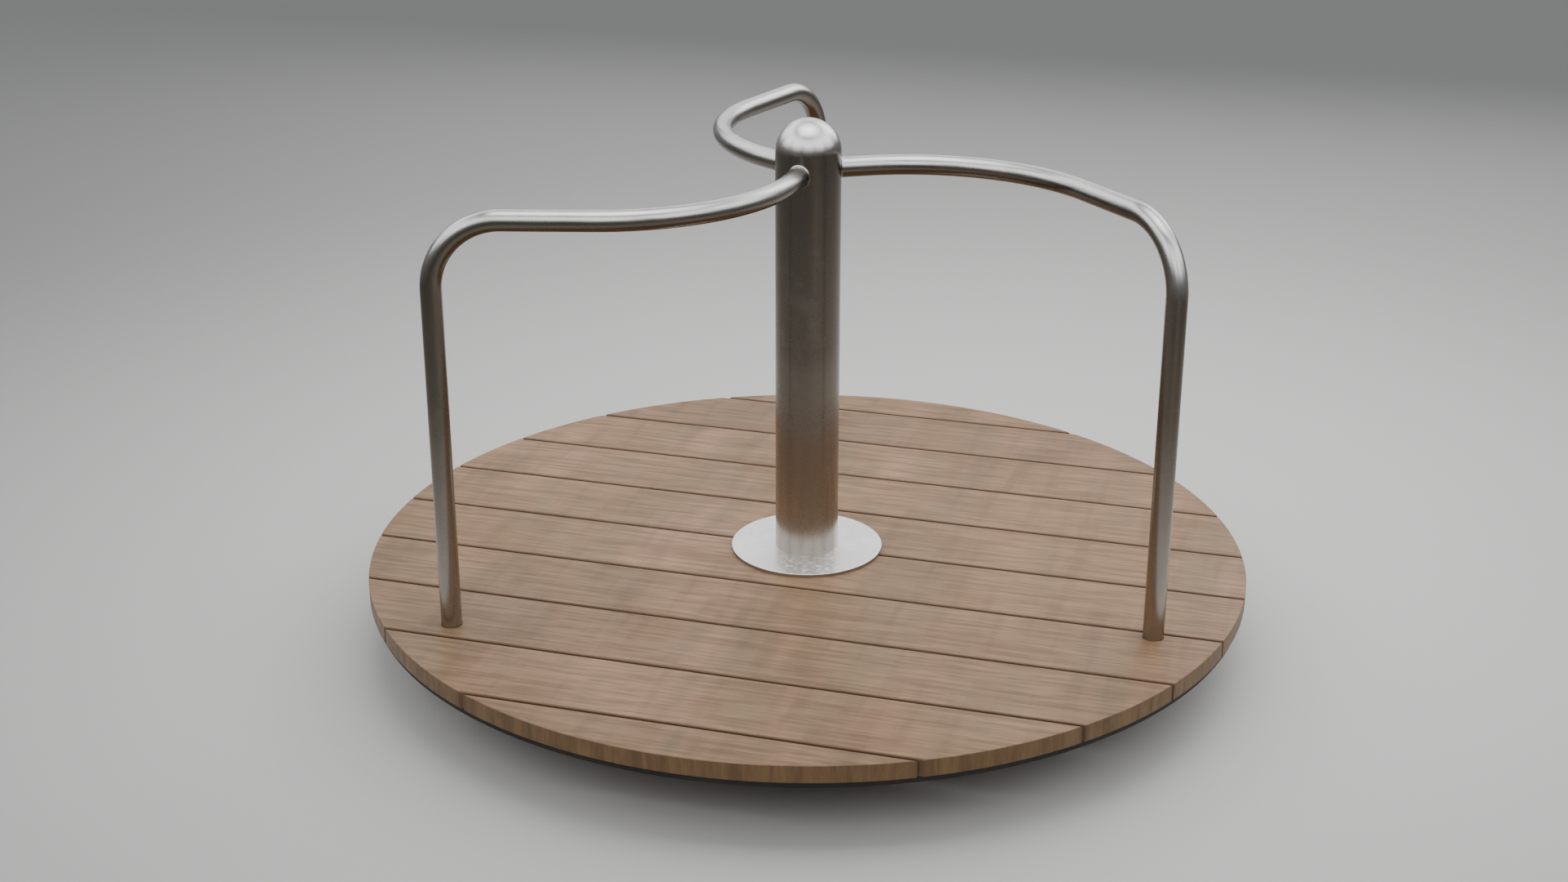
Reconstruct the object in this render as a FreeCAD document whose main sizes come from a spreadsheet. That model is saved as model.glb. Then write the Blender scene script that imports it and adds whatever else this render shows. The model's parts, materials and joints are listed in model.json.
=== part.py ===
import FreeCAD, Part
import math
import os
import re
import Sketcher
from FreeCAD import Placement, Rotation, Vector

# Playground roundabout: a round timber deck with a central column and three swept handrails,
# which turns on two ball bearings round a fixed spindle welded to a ground plate.
# Millimetres, +Z up. The origin is on the spin axis at the underside of the ground plate.

doc = FreeCAD.newDocument("Roundabout")
sheet = doc.addObject("Spreadsheet::Sheet", "Sizes")

DRIVING_SIZES = [
    # deck
    ("platform_diameter", 1500, "across the round deck"),
    ("deck_height", 140, "top of the boards above the ground"),
    ("board_thickness", 28, "thickness of a board"),
    ("board_pitch", 165, "centre of one gap to the centre of the next"),
    ("board_gap", 5, "open gap between two boards"),
    ("board_turn", -15.7, "degrees from +X to the length of the boards"),
    ("board_arris", 3, "radius on the long top edges of a board"),
    # subframe
    ("rim_inset", 4, "edge of the deck to the rim ring"),
    ("rim_width", 60, "radial width of the flat rim ring"),
    ("rim_thickness", 10, "thickness of the flat rim ring"),
    ("arm_count", 6, "number of subframe arms, two for each handrail"),
    ("arm_flange_width", 50, "width of the top flange of an arm"),
    ("arm_flange_thickness", 8, "thickness of the top flange of an arm"),
    ("arm_web_thickness", 8, "thickness of the upright web of an arm"),
    ("arm_root_depth", 48, "whole depth of an arm at the hub"),
    ("arm_tip_depth", 20, "whole depth of an arm at the rim ring"),
    ("hub_plate_diameter", 300, "plate welded under the roots of the arms"),
    ("hub_plate_thickness", 8, "thickness of the hub plate"),
    # column
    ("column_diameter", 108, "outside of the column tube"),
    ("column_wall", 4, "wall of the column tube"),
    ("column_rise", 702, "deck surface to the foot of the dome"),
    ("deck_hole_clearance", 2, "boards to the column, all round"),
    ("flange_diameter", 260, "cover flange at the foot of the column"),
    ("flange_thickness", 6, "thickness of the cover flange"),
    ("flange_chamfer", 0.8, "broken edge of the cover flange"),
    # handrails
    ("rail_count", 3, "number of handrails"),
    ("rail_diameter", 33.7, "outside of a handrail tube"),
    ("rail_wall", 3.2, "wall of a handrail tube"),
    ("rail_top_gap", 7.15, "foot of the dome down to the weld of a handrail"),
    ("rail_inset", 38, "inner edge of the rim ring to the centre of a leg"),
    ("rail_foot_azimuth", 88.3, "degrees from +X to the first leg"),
    ("rail_leaving", 45, "degrees from the leg to where the rail leaves the column"),
    ("rail_return", -29, "degrees from the leg's radius to the outer straight run"),
    ("rail_lead", 97, "spin axis to the start of the curve seen from above"),
    ("rail_bend_radius", 110, "centre-line radius of the bend down to the leg"),
    ("rail_hole_clearance", 0.5, "boards to a leg, all round"),
    ("rail_weld", 6, "leg length of the weld where a rail meets the column"),
    # handrail sockets
    ("socket_wall", 4, "wall of a socket"),
    ("socket_clearance", 0.4, "leg to the bore of its socket, all round"),
    ("socket_depth", 45, "whole depth of a socket below the boards"),
    ("socket_floor", 5, "floor that the leg stands on"),
    ("socket_drain", 12, "diameter of the drain hole"),
    ("bolt_diameter", 8, "cross bolt through a socket"),
    ("bolt_clearance", 0.5, "cross bolt to its holes, on the diameter"),
    ("bolt_head_across", 13, "across the flats of bolt heads and nuts"),
    ("bolt_head_height", 5.3, "height of a bolt head"),
    ("bolt_nut_height", 6.8, "height of a nut"),
    ("bolt_drop", 24, "underside of the boards to the cross bolt"),
    # deck screws
    ("screw_diameter", 8, "shank of a deck screw"),
    ("screw_length", 30, "length under the head"),
    ("screw_head_diameter", 16, "head of a deck screw"),
    ("screw_head_height", 4.5, "height of a deck screw's head"),
    ("screw_head_chamfer", 1, "broken edge of a deck screw's head"),
    ("screw_point_length", 4, "tapered end of a deck screw"),
    ("screw_tip_diameter", 2, "flat end of a deck screw"),
    ("screw_clearance", 0.5, "screw to its hole in steel, on the diameter"),
    ("screw_row_inset", 42, "long edge of a board to its row of screws"),
    ("screw_spread", 28, "between the two screws either side of a web"),
    # ground plate and spindle
    ("plate_diameter", 400, "round plate on the ground"),
    ("plate_thickness", 12, "thickness of the ground plate"),
    ("anchor_circle", 320, "pitch circle of the anchor holes"),
    ("anchor_hole", 18, "diameter of an anchor hole"),
    ("anchor_count", 4, "number of anchor holes"),
    ("gusset_count", 4, "number of gussets"),
    ("gusset_thickness", 8, "thickness of a gusset"),
    ("gusset_reach", 60, "boss to the toe of a gusset"),
    ("gusset_toe", 4, "upright edge at the toe of a gusset"),
    ("gusset_head", 10, "flat top of a gusset, outwards from the boss"),
    ("spigot_diameter", 50, "spindle end welded in the ground plate"),
    ("boss_diameter", 80, "foot of the spindle"),
    ("hub_clearance", 8, "fixed gussets to the turning hub plate"),
    ("land_diameter", 60, "spindle land under the lower bearing"),
    ("bearing_spacing", 300, "foot of the lower bearing to foot of the upper"),
    ("shaft_relief", 1, "shaft between the bearings, less than the lower seat"),
    ("shaft_end", 6, "spindle above the lock nut"),
    ("shaft_chamfer", 1.5, "chamfer at the top of the spindle"),
    # bearings: lower 50 x 90 x 20, upper 45 x 85 x 19
    ("lower_bore", 50, "bore of the lower bearing"),
    ("lower_outside", 90, "outside of the lower bearing"),
    ("lower_width", 20, "width of the lower bearing"),
    ("upper_bore", 45, "bore of the upper bearing"),
    ("upper_outside", 85, "outside of the upper bearing"),
    ("upper_width", 19, "width of the upper bearing"),
    ("ball_diameter", 12.7, "balls of both bearings"),
    ("ball_count", 10, "balls in each bearing"),
    ("ball_play", 0.2, "ball to its raceways and cage pocket, all round"),
    ("shoulder_offset", 3.8, "pitch circle of the balls to the shoulder of a bearing ring"),
    ("cage_thickness", 2.6, "radial thickness of a cage"),
    ("cage_width", 16, "height of a cage"),
    ("carrier_lip", 6, "shoulder of a carrier, both ways"),
    ("circlip_width", 3, "thickness of the circlip"),
    ("circlip_depth", 2, "depth of the circlip's groove"),
    ("circlip_ring", 5, "radial width of the circlip"),
    ("circlip_mouth", 12, "opening of the circlip"),
    ("circlip_shelf", 1, "wall of the carrier between the seal and the circlip"),
    ("seal_width", 8, "height of the dust seal"),
    ("seal_play", 0.05, "dust seal to the spindle land, all round"),
    ("seal_gap", 4, "boss of the spindle up to the dust seal"),
    ("washer_thickness", 1.5, "lock washer"),
    ("washer_diameter", 61, "outside of the lock washer"),
    ("nut_diameter", 65, "outside of the lock nut"),
    ("nut_thickness", 10, "thickness of the lock nut"),
    ("nut_chamfer", 1, "chamfer of the lock nut"),
    ("nut_slot_count", 4, "spanner slots in the lock nut"),
    ("nut_slot_width", 7, "width of a spanner slot"),
    ("nut_slot_depth", 3, "depth of a spanner slot"),
]

for row, (alias, value, meaning) in enumerate(DRIVING_SIZES, start=1):
    sheet.set(f"A{row}", meaning)
    sheet.set(f"B{row}", str(value))
    sheet.setAlias(f"B{row}", alias)
doc.recompute()

ALIASES = {alias for alias, _, _ in DRIVING_SIZES}
UP = Vector(0, 0, 1)
FULL_TURN = 360
pieces = []


def size(expression):
    """The number that an expression of sheet sizes comes to."""
    return float(sheet.evalExpression(named(expression)))


def named(expression):
    """Write the sheet's name before every size in an expression."""
    return re.sub(r"[a-z_]+", lambda word: prefixed(word.group()), expression)


def prefixed(word):
    return f"Sizes.{word}" if word in ALIASES else word


# Heights and radii that follow from the sheet, in words that setExpression reads.
BOARD_FOOT = "(deck_height - board_thickness)"
RIM_OUTER = "(platform_diameter / 2 - rim_inset)"
RIM_INNER = f"({RIM_OUTER} - rim_width)"
ARM_FOOT = f"({BOARD_FOOT} - arm_root_depth)"
HUB_FOOT = f"({ARM_FOOT} - hub_plate_thickness)"
COLUMN_RADIUS = "(column_diameter / 2)"
COLUMN_BORE = f"({COLUMN_RADIUS} - column_wall)"
DOME_FOOT = "(deck_height + column_rise)"
SEAL_FOOT = f"({HUB_FOOT} + hub_clearance)"
CIRCLIP_FOOT = f"({SEAL_FOOT} + seal_width + circlip_shelf)"
LOWER_FOOT = f"({CIRCLIP_FOOT} + circlip_width)"
UPPER_FOOT = f"({LOWER_FOOT} + bearing_spacing)"
NUT_FOOT = f"({UPPER_FOOT} + upper_width + washer_thickness)"
SPINDLE_TOP = f"({NUT_FOOT} + nut_thickness + shaft_end)"
RAIL_HEIGHT = f"({DOME_FOOT} - rail_top_gap - rail_weld - rail_diameter / 2)"
LEG_RADIUS = f"({RIM_INNER} - rail_inset)"
SOCKET_FOOT = f"({BOARD_FOOT} - socket_depth)"
LEG_FOOT = f"({SOCKET_FOOT} + socket_floor)"
SOCKET_BORE = "(rail_diameter / 2 + socket_clearance)"
SOCKET_RADIUS = f"({SOCKET_BORE} + socket_wall)"
BOLT_HEIGHT = f"({BOARD_FOOT} - bolt_drop)"


# ---- document helpers -------------------------------------------------------------------

def bind(item, **expressions):
    """Tie properties of an object to sizes; Base_z stands for Placement.Base.z."""
    for name, expression in expressions.items():
        path = name.replace("Base_", "Placement.Base.")
        item.setExpression(path, named(expression))


def keep(item, label):
    """Name a finished sub-part."""
    item.Label = label
    pieces.append(item)
    return item


def primitive(kind, name, **expressions):
    item = doc.addObject(f"Part::{kind}", name)
    bind(item, **expressions)
    return item


def cut(name, base, tool):
    item = doc.addObject("Part::Cut", name)
    item.Base = base
    item.Tool = tool
    return item


def common(name, base, tool):
    item = doc.addObject("Part::Common", name)
    item.Base = base
    item.Tool = tool
    return item


def fused(name, shapes):
    item = doc.addObject("Part::MultiFuse", name)
    item.Shapes = shapes
    return item


def coded(name, shape):
    """A feature whose shape is worked out in code from the sheet's sizes."""
    item = doc.addObject("Part::Feature", name)
    item.Shape = shape
    return item


def turned(item, degrees):
    """Turn a finished object round the spin axis."""
    item.Placement = Placement(Vector(), Rotation(UP, degrees)) * item.Placement
    return item


def origin_part(body, role):
    return next(part for part in body.Origin.OriginFeatures if part.Role == role)


def outline(body, plane, corners):
    """A closed sketch of straight lines whose corners are held by pairs of expressions."""
    sketch = body.newObject("Sketcher::SketchObject", "Outline")
    sketch.AttachmentSupport = (origin_part(body, plane), [""])
    sketch.MapMode = "FlatFace"
    points = [Vector(size(across), size(up), 0) for across, up in corners]
    for index, point in enumerate(points):
        following = points[(index + 1) % len(points)]
        sketch.addGeometry(Part.LineSegment(point, following), False)
    for index, corner in enumerate(corners):
        following = (index + 1) % len(corners)
        sketch.addConstraint(Sketcher.Constraint("Coincident", index, 2, following, 1))
        hold(sketch, "DistanceX", index, corner[0], axis=-2)
        hold(sketch, "DistanceY", index, corner[1], axis=-1)
    return sketch


def hold(sketch, kind, line, expression, axis):
    """Place the start of a line at a distance from an axis, or on it."""
    if expression == "0":
        sketch.addConstraint(Sketcher.Constraint("PointOnObject", line, 1, axis))
    else:
        sketch_constraint(sketch, size(expression), expression, kind, -1, 1, line, 1)


def lathe(name, corners):
    """A body turned about Z from (radius, height) corners."""
    body = doc.addObject("PartDesign::Body", name)
    sketch = outline(body, "XZ_Plane", corners)
    turning = body.newObject("PartDesign::Revolution", "Turning")
    turning.Profile = sketch
    turning.ReferenceAxis = (sketch, ["V_Axis"])
    turning.Angle = FULL_TURN
    return body


def ring(name, inner, outer, foot, top):
    """A plain turned ring; every argument is an expression."""
    return lathe(name, [(inner, foot), (outer, foot), (outer, top), (inner, top)])


def upright_plate(name, corners, thickness):
    """A plate standing in the XZ plane, padded equally to both sides."""
    body = doc.addObject("PartDesign::Body", name)
    pad = body.newObject("PartDesign::Pad", "Thickness")
    pad.Profile = outline(body, "XZ_Plane", corners)
    pad.SideType = "Symmetric"
    bind(pad, Length=thickness)
    return body


def drive_circle(sketch, across, up, diameter):
    """Hold a sketch's only circle by its centre and its diameter."""
    sketch_constraint(sketch, size(across), across, "DistanceX", -1, 1, 0, 3)
    if up == "0":
        sketch.addConstraint(Sketcher.Constraint("PointOnObject", 0, 3, -1))
    else:
        sketch_constraint(sketch, size(up), up, "DistanceY", -1, 1, 0, 3)
    sketch_constraint(sketch, size(diameter), diameter, "Diameter", 0)


def sketch_constraint(sketch, value, expression, *places):
    """Add a dimension to a sketch and tie it to the sheet."""
    number = sketch.addConstraint(Sketcher.Constraint(*places, value))
    sketch.setExpression(f"Constraints[{number}]", named(expression))


def drilled_circle(body, circle, hole, count):
    """Drill a circle of holes right through a body, along its axis."""
    sketch = body.newObject("Sketcher::SketchObject", "Hole")
    sketch.AttachmentSupport = (origin_part(body, "XY_Plane"), [""])
    sketch.MapMode = "FlatFace"
    centre = Vector(size(circle) / 2, 0, 0)
    sketch.addGeometry(Part.Circle(centre, UP, size(hole) / 2), False)
    drive_circle(sketch, f"{circle} / 2", "0", hole)
    pocket = body.newObject("PartDesign::Pocket", "Drilling")
    pocket.Profile = sketch
    pocket.Type = "ThroughAll"
    pocket.SideType = "Symmetric"
    pattern = body.newObject("PartDesign::PolarPattern", "Circle")
    pattern.Originals = [pocket]
    pattern.Axis = (origin_part(body, "Z_Axis"), [""])
    pattern.Angle = FULL_TURN
    bind(pattern, Occurrences=count)
    body.Tip = pattern


def polar(radius, degrees, height=0.0):
    angle = math.radians(degrees)
    return Vector(radius * math.cos(angle), radius * math.sin(angle), height)


def shares(count):
    """Even steps of a full turn, in degrees."""
    whole = int(size(count))
    return [FULL_TURN * number / whole for number in range(whole)]


# ---- fixed base -------------------------------------------------------------------------

def make_ground_plate():
    plate = ring("GroundPlate", "spigot_diameter / 2", "plate_diameter / 2", "0", "plate_thickness")
    drilled_circle(plate, "anchor_circle", "anchor_hole", "anchor_count")
    keep(plate, "ground_plate")


def make_spindle():
    """Stepped shaft: spigot, boss, seal land, lower seat, relief, upper seat and thread."""
    boss_top = f"({SEAL_FOOT} - seal_gap)"
    relief = "((lower_bore - shaft_relief) / 2)"
    seat_top = f"({LOWER_FOOT} + lower_width)"
    corners = [
        ("0", "0"),
        ("spigot_diameter / 2", "0"),
        ("spigot_diameter / 2", "plate_thickness"),
        ("boss_diameter / 2", "plate_thickness"),
        ("boss_diameter / 2", boss_top),
        ("land_diameter / 2", boss_top),
        ("land_diameter / 2", LOWER_FOOT),
        ("lower_bore / 2", LOWER_FOOT),
        ("lower_bore / 2", seat_top),
        (relief, seat_top),
        (relief, UPPER_FOOT),
        ("upper_bore / 2", UPPER_FOOT),
        ("upper_bore / 2", f"{SPINDLE_TOP} - shaft_chamfer"),
        ("upper_bore / 2 - shaft_chamfer", SPINDLE_TOP),
        ("0", SPINDLE_TOP),
    ]
    keep(lathe("Spindle", corners), "spindle")


def make_gussets():
    """Ribs between the boss and the ground plate, kept clear of the turning hub.

    Each one starts inside the boss and is coped to fit round it.
    """
    inside = "(boss_diameter / 4)"
    head = "(boss_diameter / 2 + gusset_head)"
    toe = "(boss_diameter / 2 + gusset_reach)"
    top = f"({HUB_FOOT} - hub_clearance)"
    boss = primitive("Cylinder", "GussetBoss", Radius="boss_diameter / 2", Height="deck_height")
    for number, turn in enumerate(shares("gusset_count"), start=1):
        rib = upright_plate(f"Rib{number}", [
            (inside, "plate_thickness"),
            (toe, "plate_thickness"),
            (toe, "plate_thickness + gusset_toe"),
            (head, top),
            (inside, top),
        ], "gusset_thickness")
        coped = cut(f"Gusset{number}", rib, boss)
        keep(turned(coped, turn), f"gusset_{number}")


def make_lock_nut():
    """Slotted ring nut on the spindle's thread, with its lock washer."""
    washer_foot = f"({UPPER_FOOT} + upper_width)"
    keep(ring("Washer", "upper_bore / 2", "washer_diameter / 2", washer_foot, NUT_FOOT),
         "lock_washer")
    nut_top = f"({NUT_FOOT} + nut_thickness)"
    blank = lathe("NutBlank", [
        ("upper_bore / 2", NUT_FOOT),
        ("nut_diameter / 2", NUT_FOOT),
        ("nut_diameter / 2", f"{nut_top} - nut_chamfer"),
        ("nut_diameter / 2 - nut_chamfer", nut_top),
        ("upper_bore / 2", nut_top),
    ])
    slots = []
    for turn in shares("nut_slot_count"):
        slot = primitive("Box", "NutSlot", Length="nut_diameter", Width="nut_slot_width",
                         Height="nut_thickness", Base_x="nut_diameter / 2 - nut_slot_depth",
                         Base_y="-nut_slot_width / 2", Base_z=NUT_FOOT)
        slots.append(turned_copy(slot, turn))
    keep(cut("Nut", blank, fused("NutSlots", slots)), "lock_nut")


def turned_copy(item, degrees):
    """A copy of an object turned round the spin axis, for cutting tools."""
    doc.recompute()
    return coded(f"{item.Name}Turned", item.Shape.rotated(Vector(), UP, degrees))


# ---- bearings ---------------------------------------------------------------------------

def make_bearing(prefix, foot):
    """A deep-groove ball bearing: two rings, a pocketed cage and its balls."""
    bore = f"({prefix}_bore / 2)"
    outside = f"({prefix}_outside / 2)"
    pitch = f"(({prefix}_bore + {prefix}_outside) / 4)"
    top = f"({foot} + {prefix}_width)"
    middle = f"({foot} + {prefix}_width / 2)"
    inner = ring(f"{prefix}Inner", bore, f"{pitch} - shoulder_offset", foot, top)
    raceway(inner, pitch, middle)
    keep(inner, f"{prefix}_bearing_inner_ring")
    outer = ring(f"{prefix}Outer", f"{pitch} + shoulder_offset", outside, foot, top)
    raceway(outer, pitch, middle)
    keep(outer, f"{prefix}_bearing_outer_ring")

    ball = size("ball_diameter / 2")
    centres = [polar(size(pitch), turn, size(middle)) for turn in shares("ball_count")]
    balls = [Part.makeSphere(ball, centre) for centre in centres]
    keep(coded(f"{prefix}Balls", Part.makeCompound(balls)), f"{prefix}_bearing_balls")

    band = ring(f"{prefix}Band", f"{pitch} - cage_thickness / 2", f"{pitch} + cage_thickness / 2",
                f"{middle} - cage_width / 2", f"{middle} + cage_width / 2")
    pocket = ball + size("ball_play")
    bores = [Part.makeCylinder(pocket, 2 * ball, centre - out * ball, out)
             for centre, out in zip(centres, outward_lines("ball_count"))]
    pockets = coded(f"{prefix}Pockets", Part.makeCompound(bores))
    keep(cut(f"{prefix}Cage", band, pockets), f"{prefix}_bearing_cage")


def outward_lines(count):
    """Level unit vectors away from the spin axis, at even steps."""
    return [polar(1, turn) for turn in shares(count)]


def raceway(body, pitch, height):
    """Turn the ball groove into a bearing ring."""
    radius = "ball_diameter / 2 + ball_play"
    sketch = body.newObject("Sketcher::SketchObject", "Raceway")
    sketch.AttachmentSupport = (origin_part(body, "XZ_Plane"), [""])
    sketch.MapMode = "FlatFace"
    centre = Vector(size(pitch), size(height), 0)
    sketch.addGeometry(Part.Circle(centre, UP, size(radius)), False)
    drive_circle(sketch, pitch, height, f"2 * ({radius})")
    groove = body.newObject("PartDesign::Groove", "RacewayGroove")
    groove.Profile = sketch
    groove.ReferenceAxis = (sketch, ["V_Axis"])
    groove.Angle = FULL_TURN


def make_carriers():
    """Rings pressed in the column that hold the outer rings of the bearings.

    The lower one bears down on its bearing from above, the upper one pulls up from below,
    so the deck rests on the lower bearing and can't lift off the upper.
    """
    lower_seat = "(lower_outside / 2)"
    lower_top = f"({LOWER_FOOT} + lower_width)"
    groove = f"({lower_seat} + circlip_depth)"
    keep(lathe("LowerCarrier", [
        (lower_seat, SEAL_FOOT),
        (COLUMN_BORE, SEAL_FOOT),
        (COLUMN_BORE, f"{lower_top} + carrier_lip"),
        (f"{lower_seat} - carrier_lip", f"{lower_top} + carrier_lip"),
        (f"{lower_seat} - carrier_lip", lower_top),
        (lower_seat, lower_top),
        (lower_seat, LOWER_FOOT),
        (groove, LOWER_FOOT),
        (groove, CIRCLIP_FOOT),
        (lower_seat, CIRCLIP_FOOT),
    ]), "lower_bearing_carrier")
    upper_seat = "(upper_outside / 2)"
    keep(lathe("UpperCarrier", [
        (f"{upper_seat} - carrier_lip", f"{UPPER_FOOT} - carrier_lip"),
        (COLUMN_BORE, f"{UPPER_FOOT} - carrier_lip"),
        (COLUMN_BORE, f"{UPPER_FOOT} + upper_width"),
        (upper_seat, f"{UPPER_FOOT} + upper_width"),
        (upper_seat, UPPER_FOOT),
        (f"{upper_seat} - carrier_lip", UPPER_FOOT),
    ]), "upper_bearing_carrier")


def make_circlip_and_seal():
    """Open spring ring under the lower bearing, and the dust seal below it."""
    groove = "(lower_outside / 2 + circlip_depth)"
    whole = ring("CirclipRing", f"{groove} - circlip_ring", groove, CIRCLIP_FOOT, LOWER_FOOT)
    mouth = primitive("Box", "CirclipMouth", Length="lower_outside", Width="circlip_mouth",
                      Height="circlip_width", Base_y="-circlip_mouth / 2", Base_z=CIRCLIP_FOOT)
    keep(cut("Circlip", whole, mouth), "lower_circlip")
    keep(ring("DustSeal", "land_diameter / 2 + seal_play", "lower_outside / 2", SEAL_FOOT,
              f"{SEAL_FOOT} + seal_width"), "dust_seal")


# ---- column -----------------------------------------------------------------------------

def make_column():
    keep(ring("ColumnTube", COLUMN_BORE, COLUMN_RADIUS, HUB_FOOT, DOME_FOOT), "column_tube")
    dome = {"Angle1": "0", "Angle2": "90", "Base_z": DOME_FOOT}
    outside = primitive("Sphere", "DomeOutside", Radius=COLUMN_RADIUS, **dome)
    inside = primitive("Sphere", "DomeInside", Radius=COLUMN_BORE, **dome)
    keep(cut("Dome", outside, inside), "column_dome")
    rim = "(flange_diameter / 2)"
    flange_top = "(deck_height + flange_thickness)"
    keep(lathe("CoverFlange", [
        (COLUMN_RADIUS, "deck_height"),
        (rim, "deck_height"),
        (rim, f"{flange_top} - flange_chamfer"),
        (f"{rim} - flange_chamfer", flange_top),
        (COLUMN_RADIUS, flange_top),
    ]), "cover_flange")
    keep(ring("HubPlate", COLUMN_RADIUS, "hub_plate_diameter / 2", HUB_FOOT, ARM_FOOT),
         "hub_plate")


# ---- handrails --------------------------------------------------------------------------

def rail_angles():
    return [size("rail_foot_azimuth") + turn for turn in shares("rail_count")]


def rail_path(top):
    """Centre line of a handrail whose leg stands on +X.

    It leaves the column straight outwards, sweeps round in a level arc, runs straight
    towards the leg and bends down into it. The radius of the sweep is the one that makes
    the outer run point at the leg.
    """
    lead = size("rail_lead")
    bend = size("rail_bend_radius")
    leaving = polar(1, size("rail_leaving"))
    arriving = polar(1, size("rail_return"))
    leg = Vector(size(LEG_RADIUS), 0, 0)
    leaving_left = UP.cross(leaving)
    arriving_left = UP.cross(arriving)
    sweep_start = leaving * lead
    to_leg = (leg - sweep_start).cross(arriving).z
    sweep = to_leg / (arriving_left - leaving_left).cross(arriving).z
    lift = UP * top
    centre = sweep_start - leaving_left * sweep
    sweep_end = centre + arriving_left * sweep
    halfway = centre + (leaving_left + arriving_left).normalize() * sweep
    bend_start = leg - arriving * bend
    bend_centre = bend_start - UP * bend
    bend_middle = bend_centre + (arriving + UP).normalize() * bend
    leg_top = leg - UP * bend
    inside_column = leaving * size(COLUMN_RADIUS) / 2
    edges = [
        Part.LineSegment(inside_column + lift, sweep_start + lift),
        Part.Arc(sweep_start + lift, halfway + lift, sweep_end + lift),
        Part.LineSegment(sweep_end + lift, bend_start + lift),
        Part.Arc(bend_start + lift, bend_middle + lift, leg_top + lift),
        Part.LineSegment(leg_top + lift, leg + UP * size(LEG_FOOT)),
    ]
    return Part.Wire([edge.toShape() for edge in edges])


def swept(path, radius):
    """A round bar of the given radius along a path."""
    start = path.Edges[0].Curve
    section = Part.Wire(Part.makeCircle(radius, path.Edges[0].Vertexes[0].Point, start.Direction))
    return path.makePipeShell([section], True, True)


def column_bar():
    return Part.makeCylinder(size(COLUMN_RADIUS), size(DOME_FOOT))


def cross_bore(diameter):
    """A hole along Y through the socket and the foot of a leg that stands on +X."""
    half_length = size(f"{SOCKET_RADIUS} + bolt_diameter")
    start = Vector(size(LEG_RADIUS), -half_length, size(BOLT_HEIGHT))
    return Part.makeCylinder(diameter / 2, 2 * half_length, start, Vector(0, 1, 0))


def make_handrails():
    """Bent tubes, in code because their centre line bends in two planes."""
    path = rail_path(size(RAIL_HEIGHT))
    outside = size("rail_diameter / 2")
    bar = swept(path, outside)
    bore = swept(path, outside - size("rail_wall"))
    bolt_hole = cross_bore(size("bolt_diameter + bolt_clearance"))
    tube = bar.cut(bore).cut(column_bar()).cut(bolt_hole)
    solid = max(tube.Solids, key=lambda part: part.Volume)
    for number, azimuth in enumerate(rail_angles(), start=1):
        rail = coded(f"Handrail{number}", solid)
        rail.Placement = Placement(Vector(), Rotation(UP, azimuth))
        keep(rail, f"handrail_{number}")

    leaving = polar(1, size("rail_leaving"))
    weld = size("rail_weld")
    foot = leaving * (size(COLUMN_RADIUS) - weld) + UP * size(RAIL_HEIGHT)
    cone = Part.makeCone(outside + 2 * weld, outside, 2 * weld, foot, leaving)
    bead = cone.cut(bar).cut(column_bar())
    beads = [bead.rotated(Vector(), UP, azimuth) for azimuth in rail_angles()]
    keep(coded("RailWelds", Part.makeCompound(beads)), "handrail_welds")


def make_sockets():
    """Cups under the boards that take the legs, each with a cross bolt and nut."""
    hole = coded("SocketBoltHole", cross_bore(size("bolt_diameter + bolt_clearance")))
    for number, azimuth in enumerate(rail_angles(), start=1):
        cup = lathe(f"Cup{number}", [
            ("socket_drain / 2", SOCKET_FOOT),
            (SOCKET_RADIUS, SOCKET_FOOT),
            (SOCKET_RADIUS, BOARD_FOOT),
            (SOCKET_BORE, BOARD_FOOT),
            (SOCKET_BORE, LEG_FOOT),
            ("socket_drain / 2", LEG_FOOT),
        ])
        bind(cup, Base_x=LEG_RADIUS)
        socket = cut(f"Socket{number}", cup, hole)
        keep(turned(socket, azimuth), f"handrail_socket_{number}")

    radius = size("bolt_diameter / 2")
    across = size("bolt_head_across")
    seat = size(SOCKET_RADIUS)
    head_height = size("bolt_head_height")
    nut_height = size("bolt_nut_height")
    middle = Vector(size(LEG_RADIUS), 0, size(BOLT_HEIGHT))
    head_seat = middle + Vector(0, -seat, 0)
    nut_seat = middle + Vector(0, seat, 0)
    along = Vector(0, 1, 0)
    shank = Part.makeCylinder(radius, 2 * seat + nut_height + radius / 2, head_seat, along)
    bolt = hexagon(across, head_height, head_seat - along * head_height).fuse(shank)
    nut = hexagon(across, nut_height, nut_seat).cut(shank)
    bolts = [bolt.rotated(Vector(), UP, azimuth) for azimuth in rail_angles()]
    nuts = [nut.rotated(Vector(), UP, azimuth) for azimuth in rail_angles()]
    keep(coded("SocketBolts", Part.makeCompound(bolts)), "socket_bolts")
    keep(coded("SocketNuts", Part.makeCompound(nuts)), "socket_nuts")


def hexagon(across, height, start):
    """A hexagonal prism along +Y, with its flats `across` apart."""
    radius = across / math.sqrt(3)
    corners = [start + Vector(radius * math.cos(math.radians(turn)), 0,
                              radius * math.sin(math.radians(turn)))
               for turn in range(0, FULL_TURN + 1, 60)]
    return Part.Face(Part.makePolygon(corners)).extrude(Vector(0, height, 0))


# ---- subframe ---------------------------------------------------------------------------

def arm_angles():
    """Every other arm carries a handrail socket."""
    return [size("rail_foot_azimuth") + turn for turn in shares("arm_count")]


def boards_each_side():
    """Boards either side of the middle gap, enough to reach the edge of the deck."""
    return math.ceil(size("platform_diameter / 2 / board_pitch"))


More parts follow.
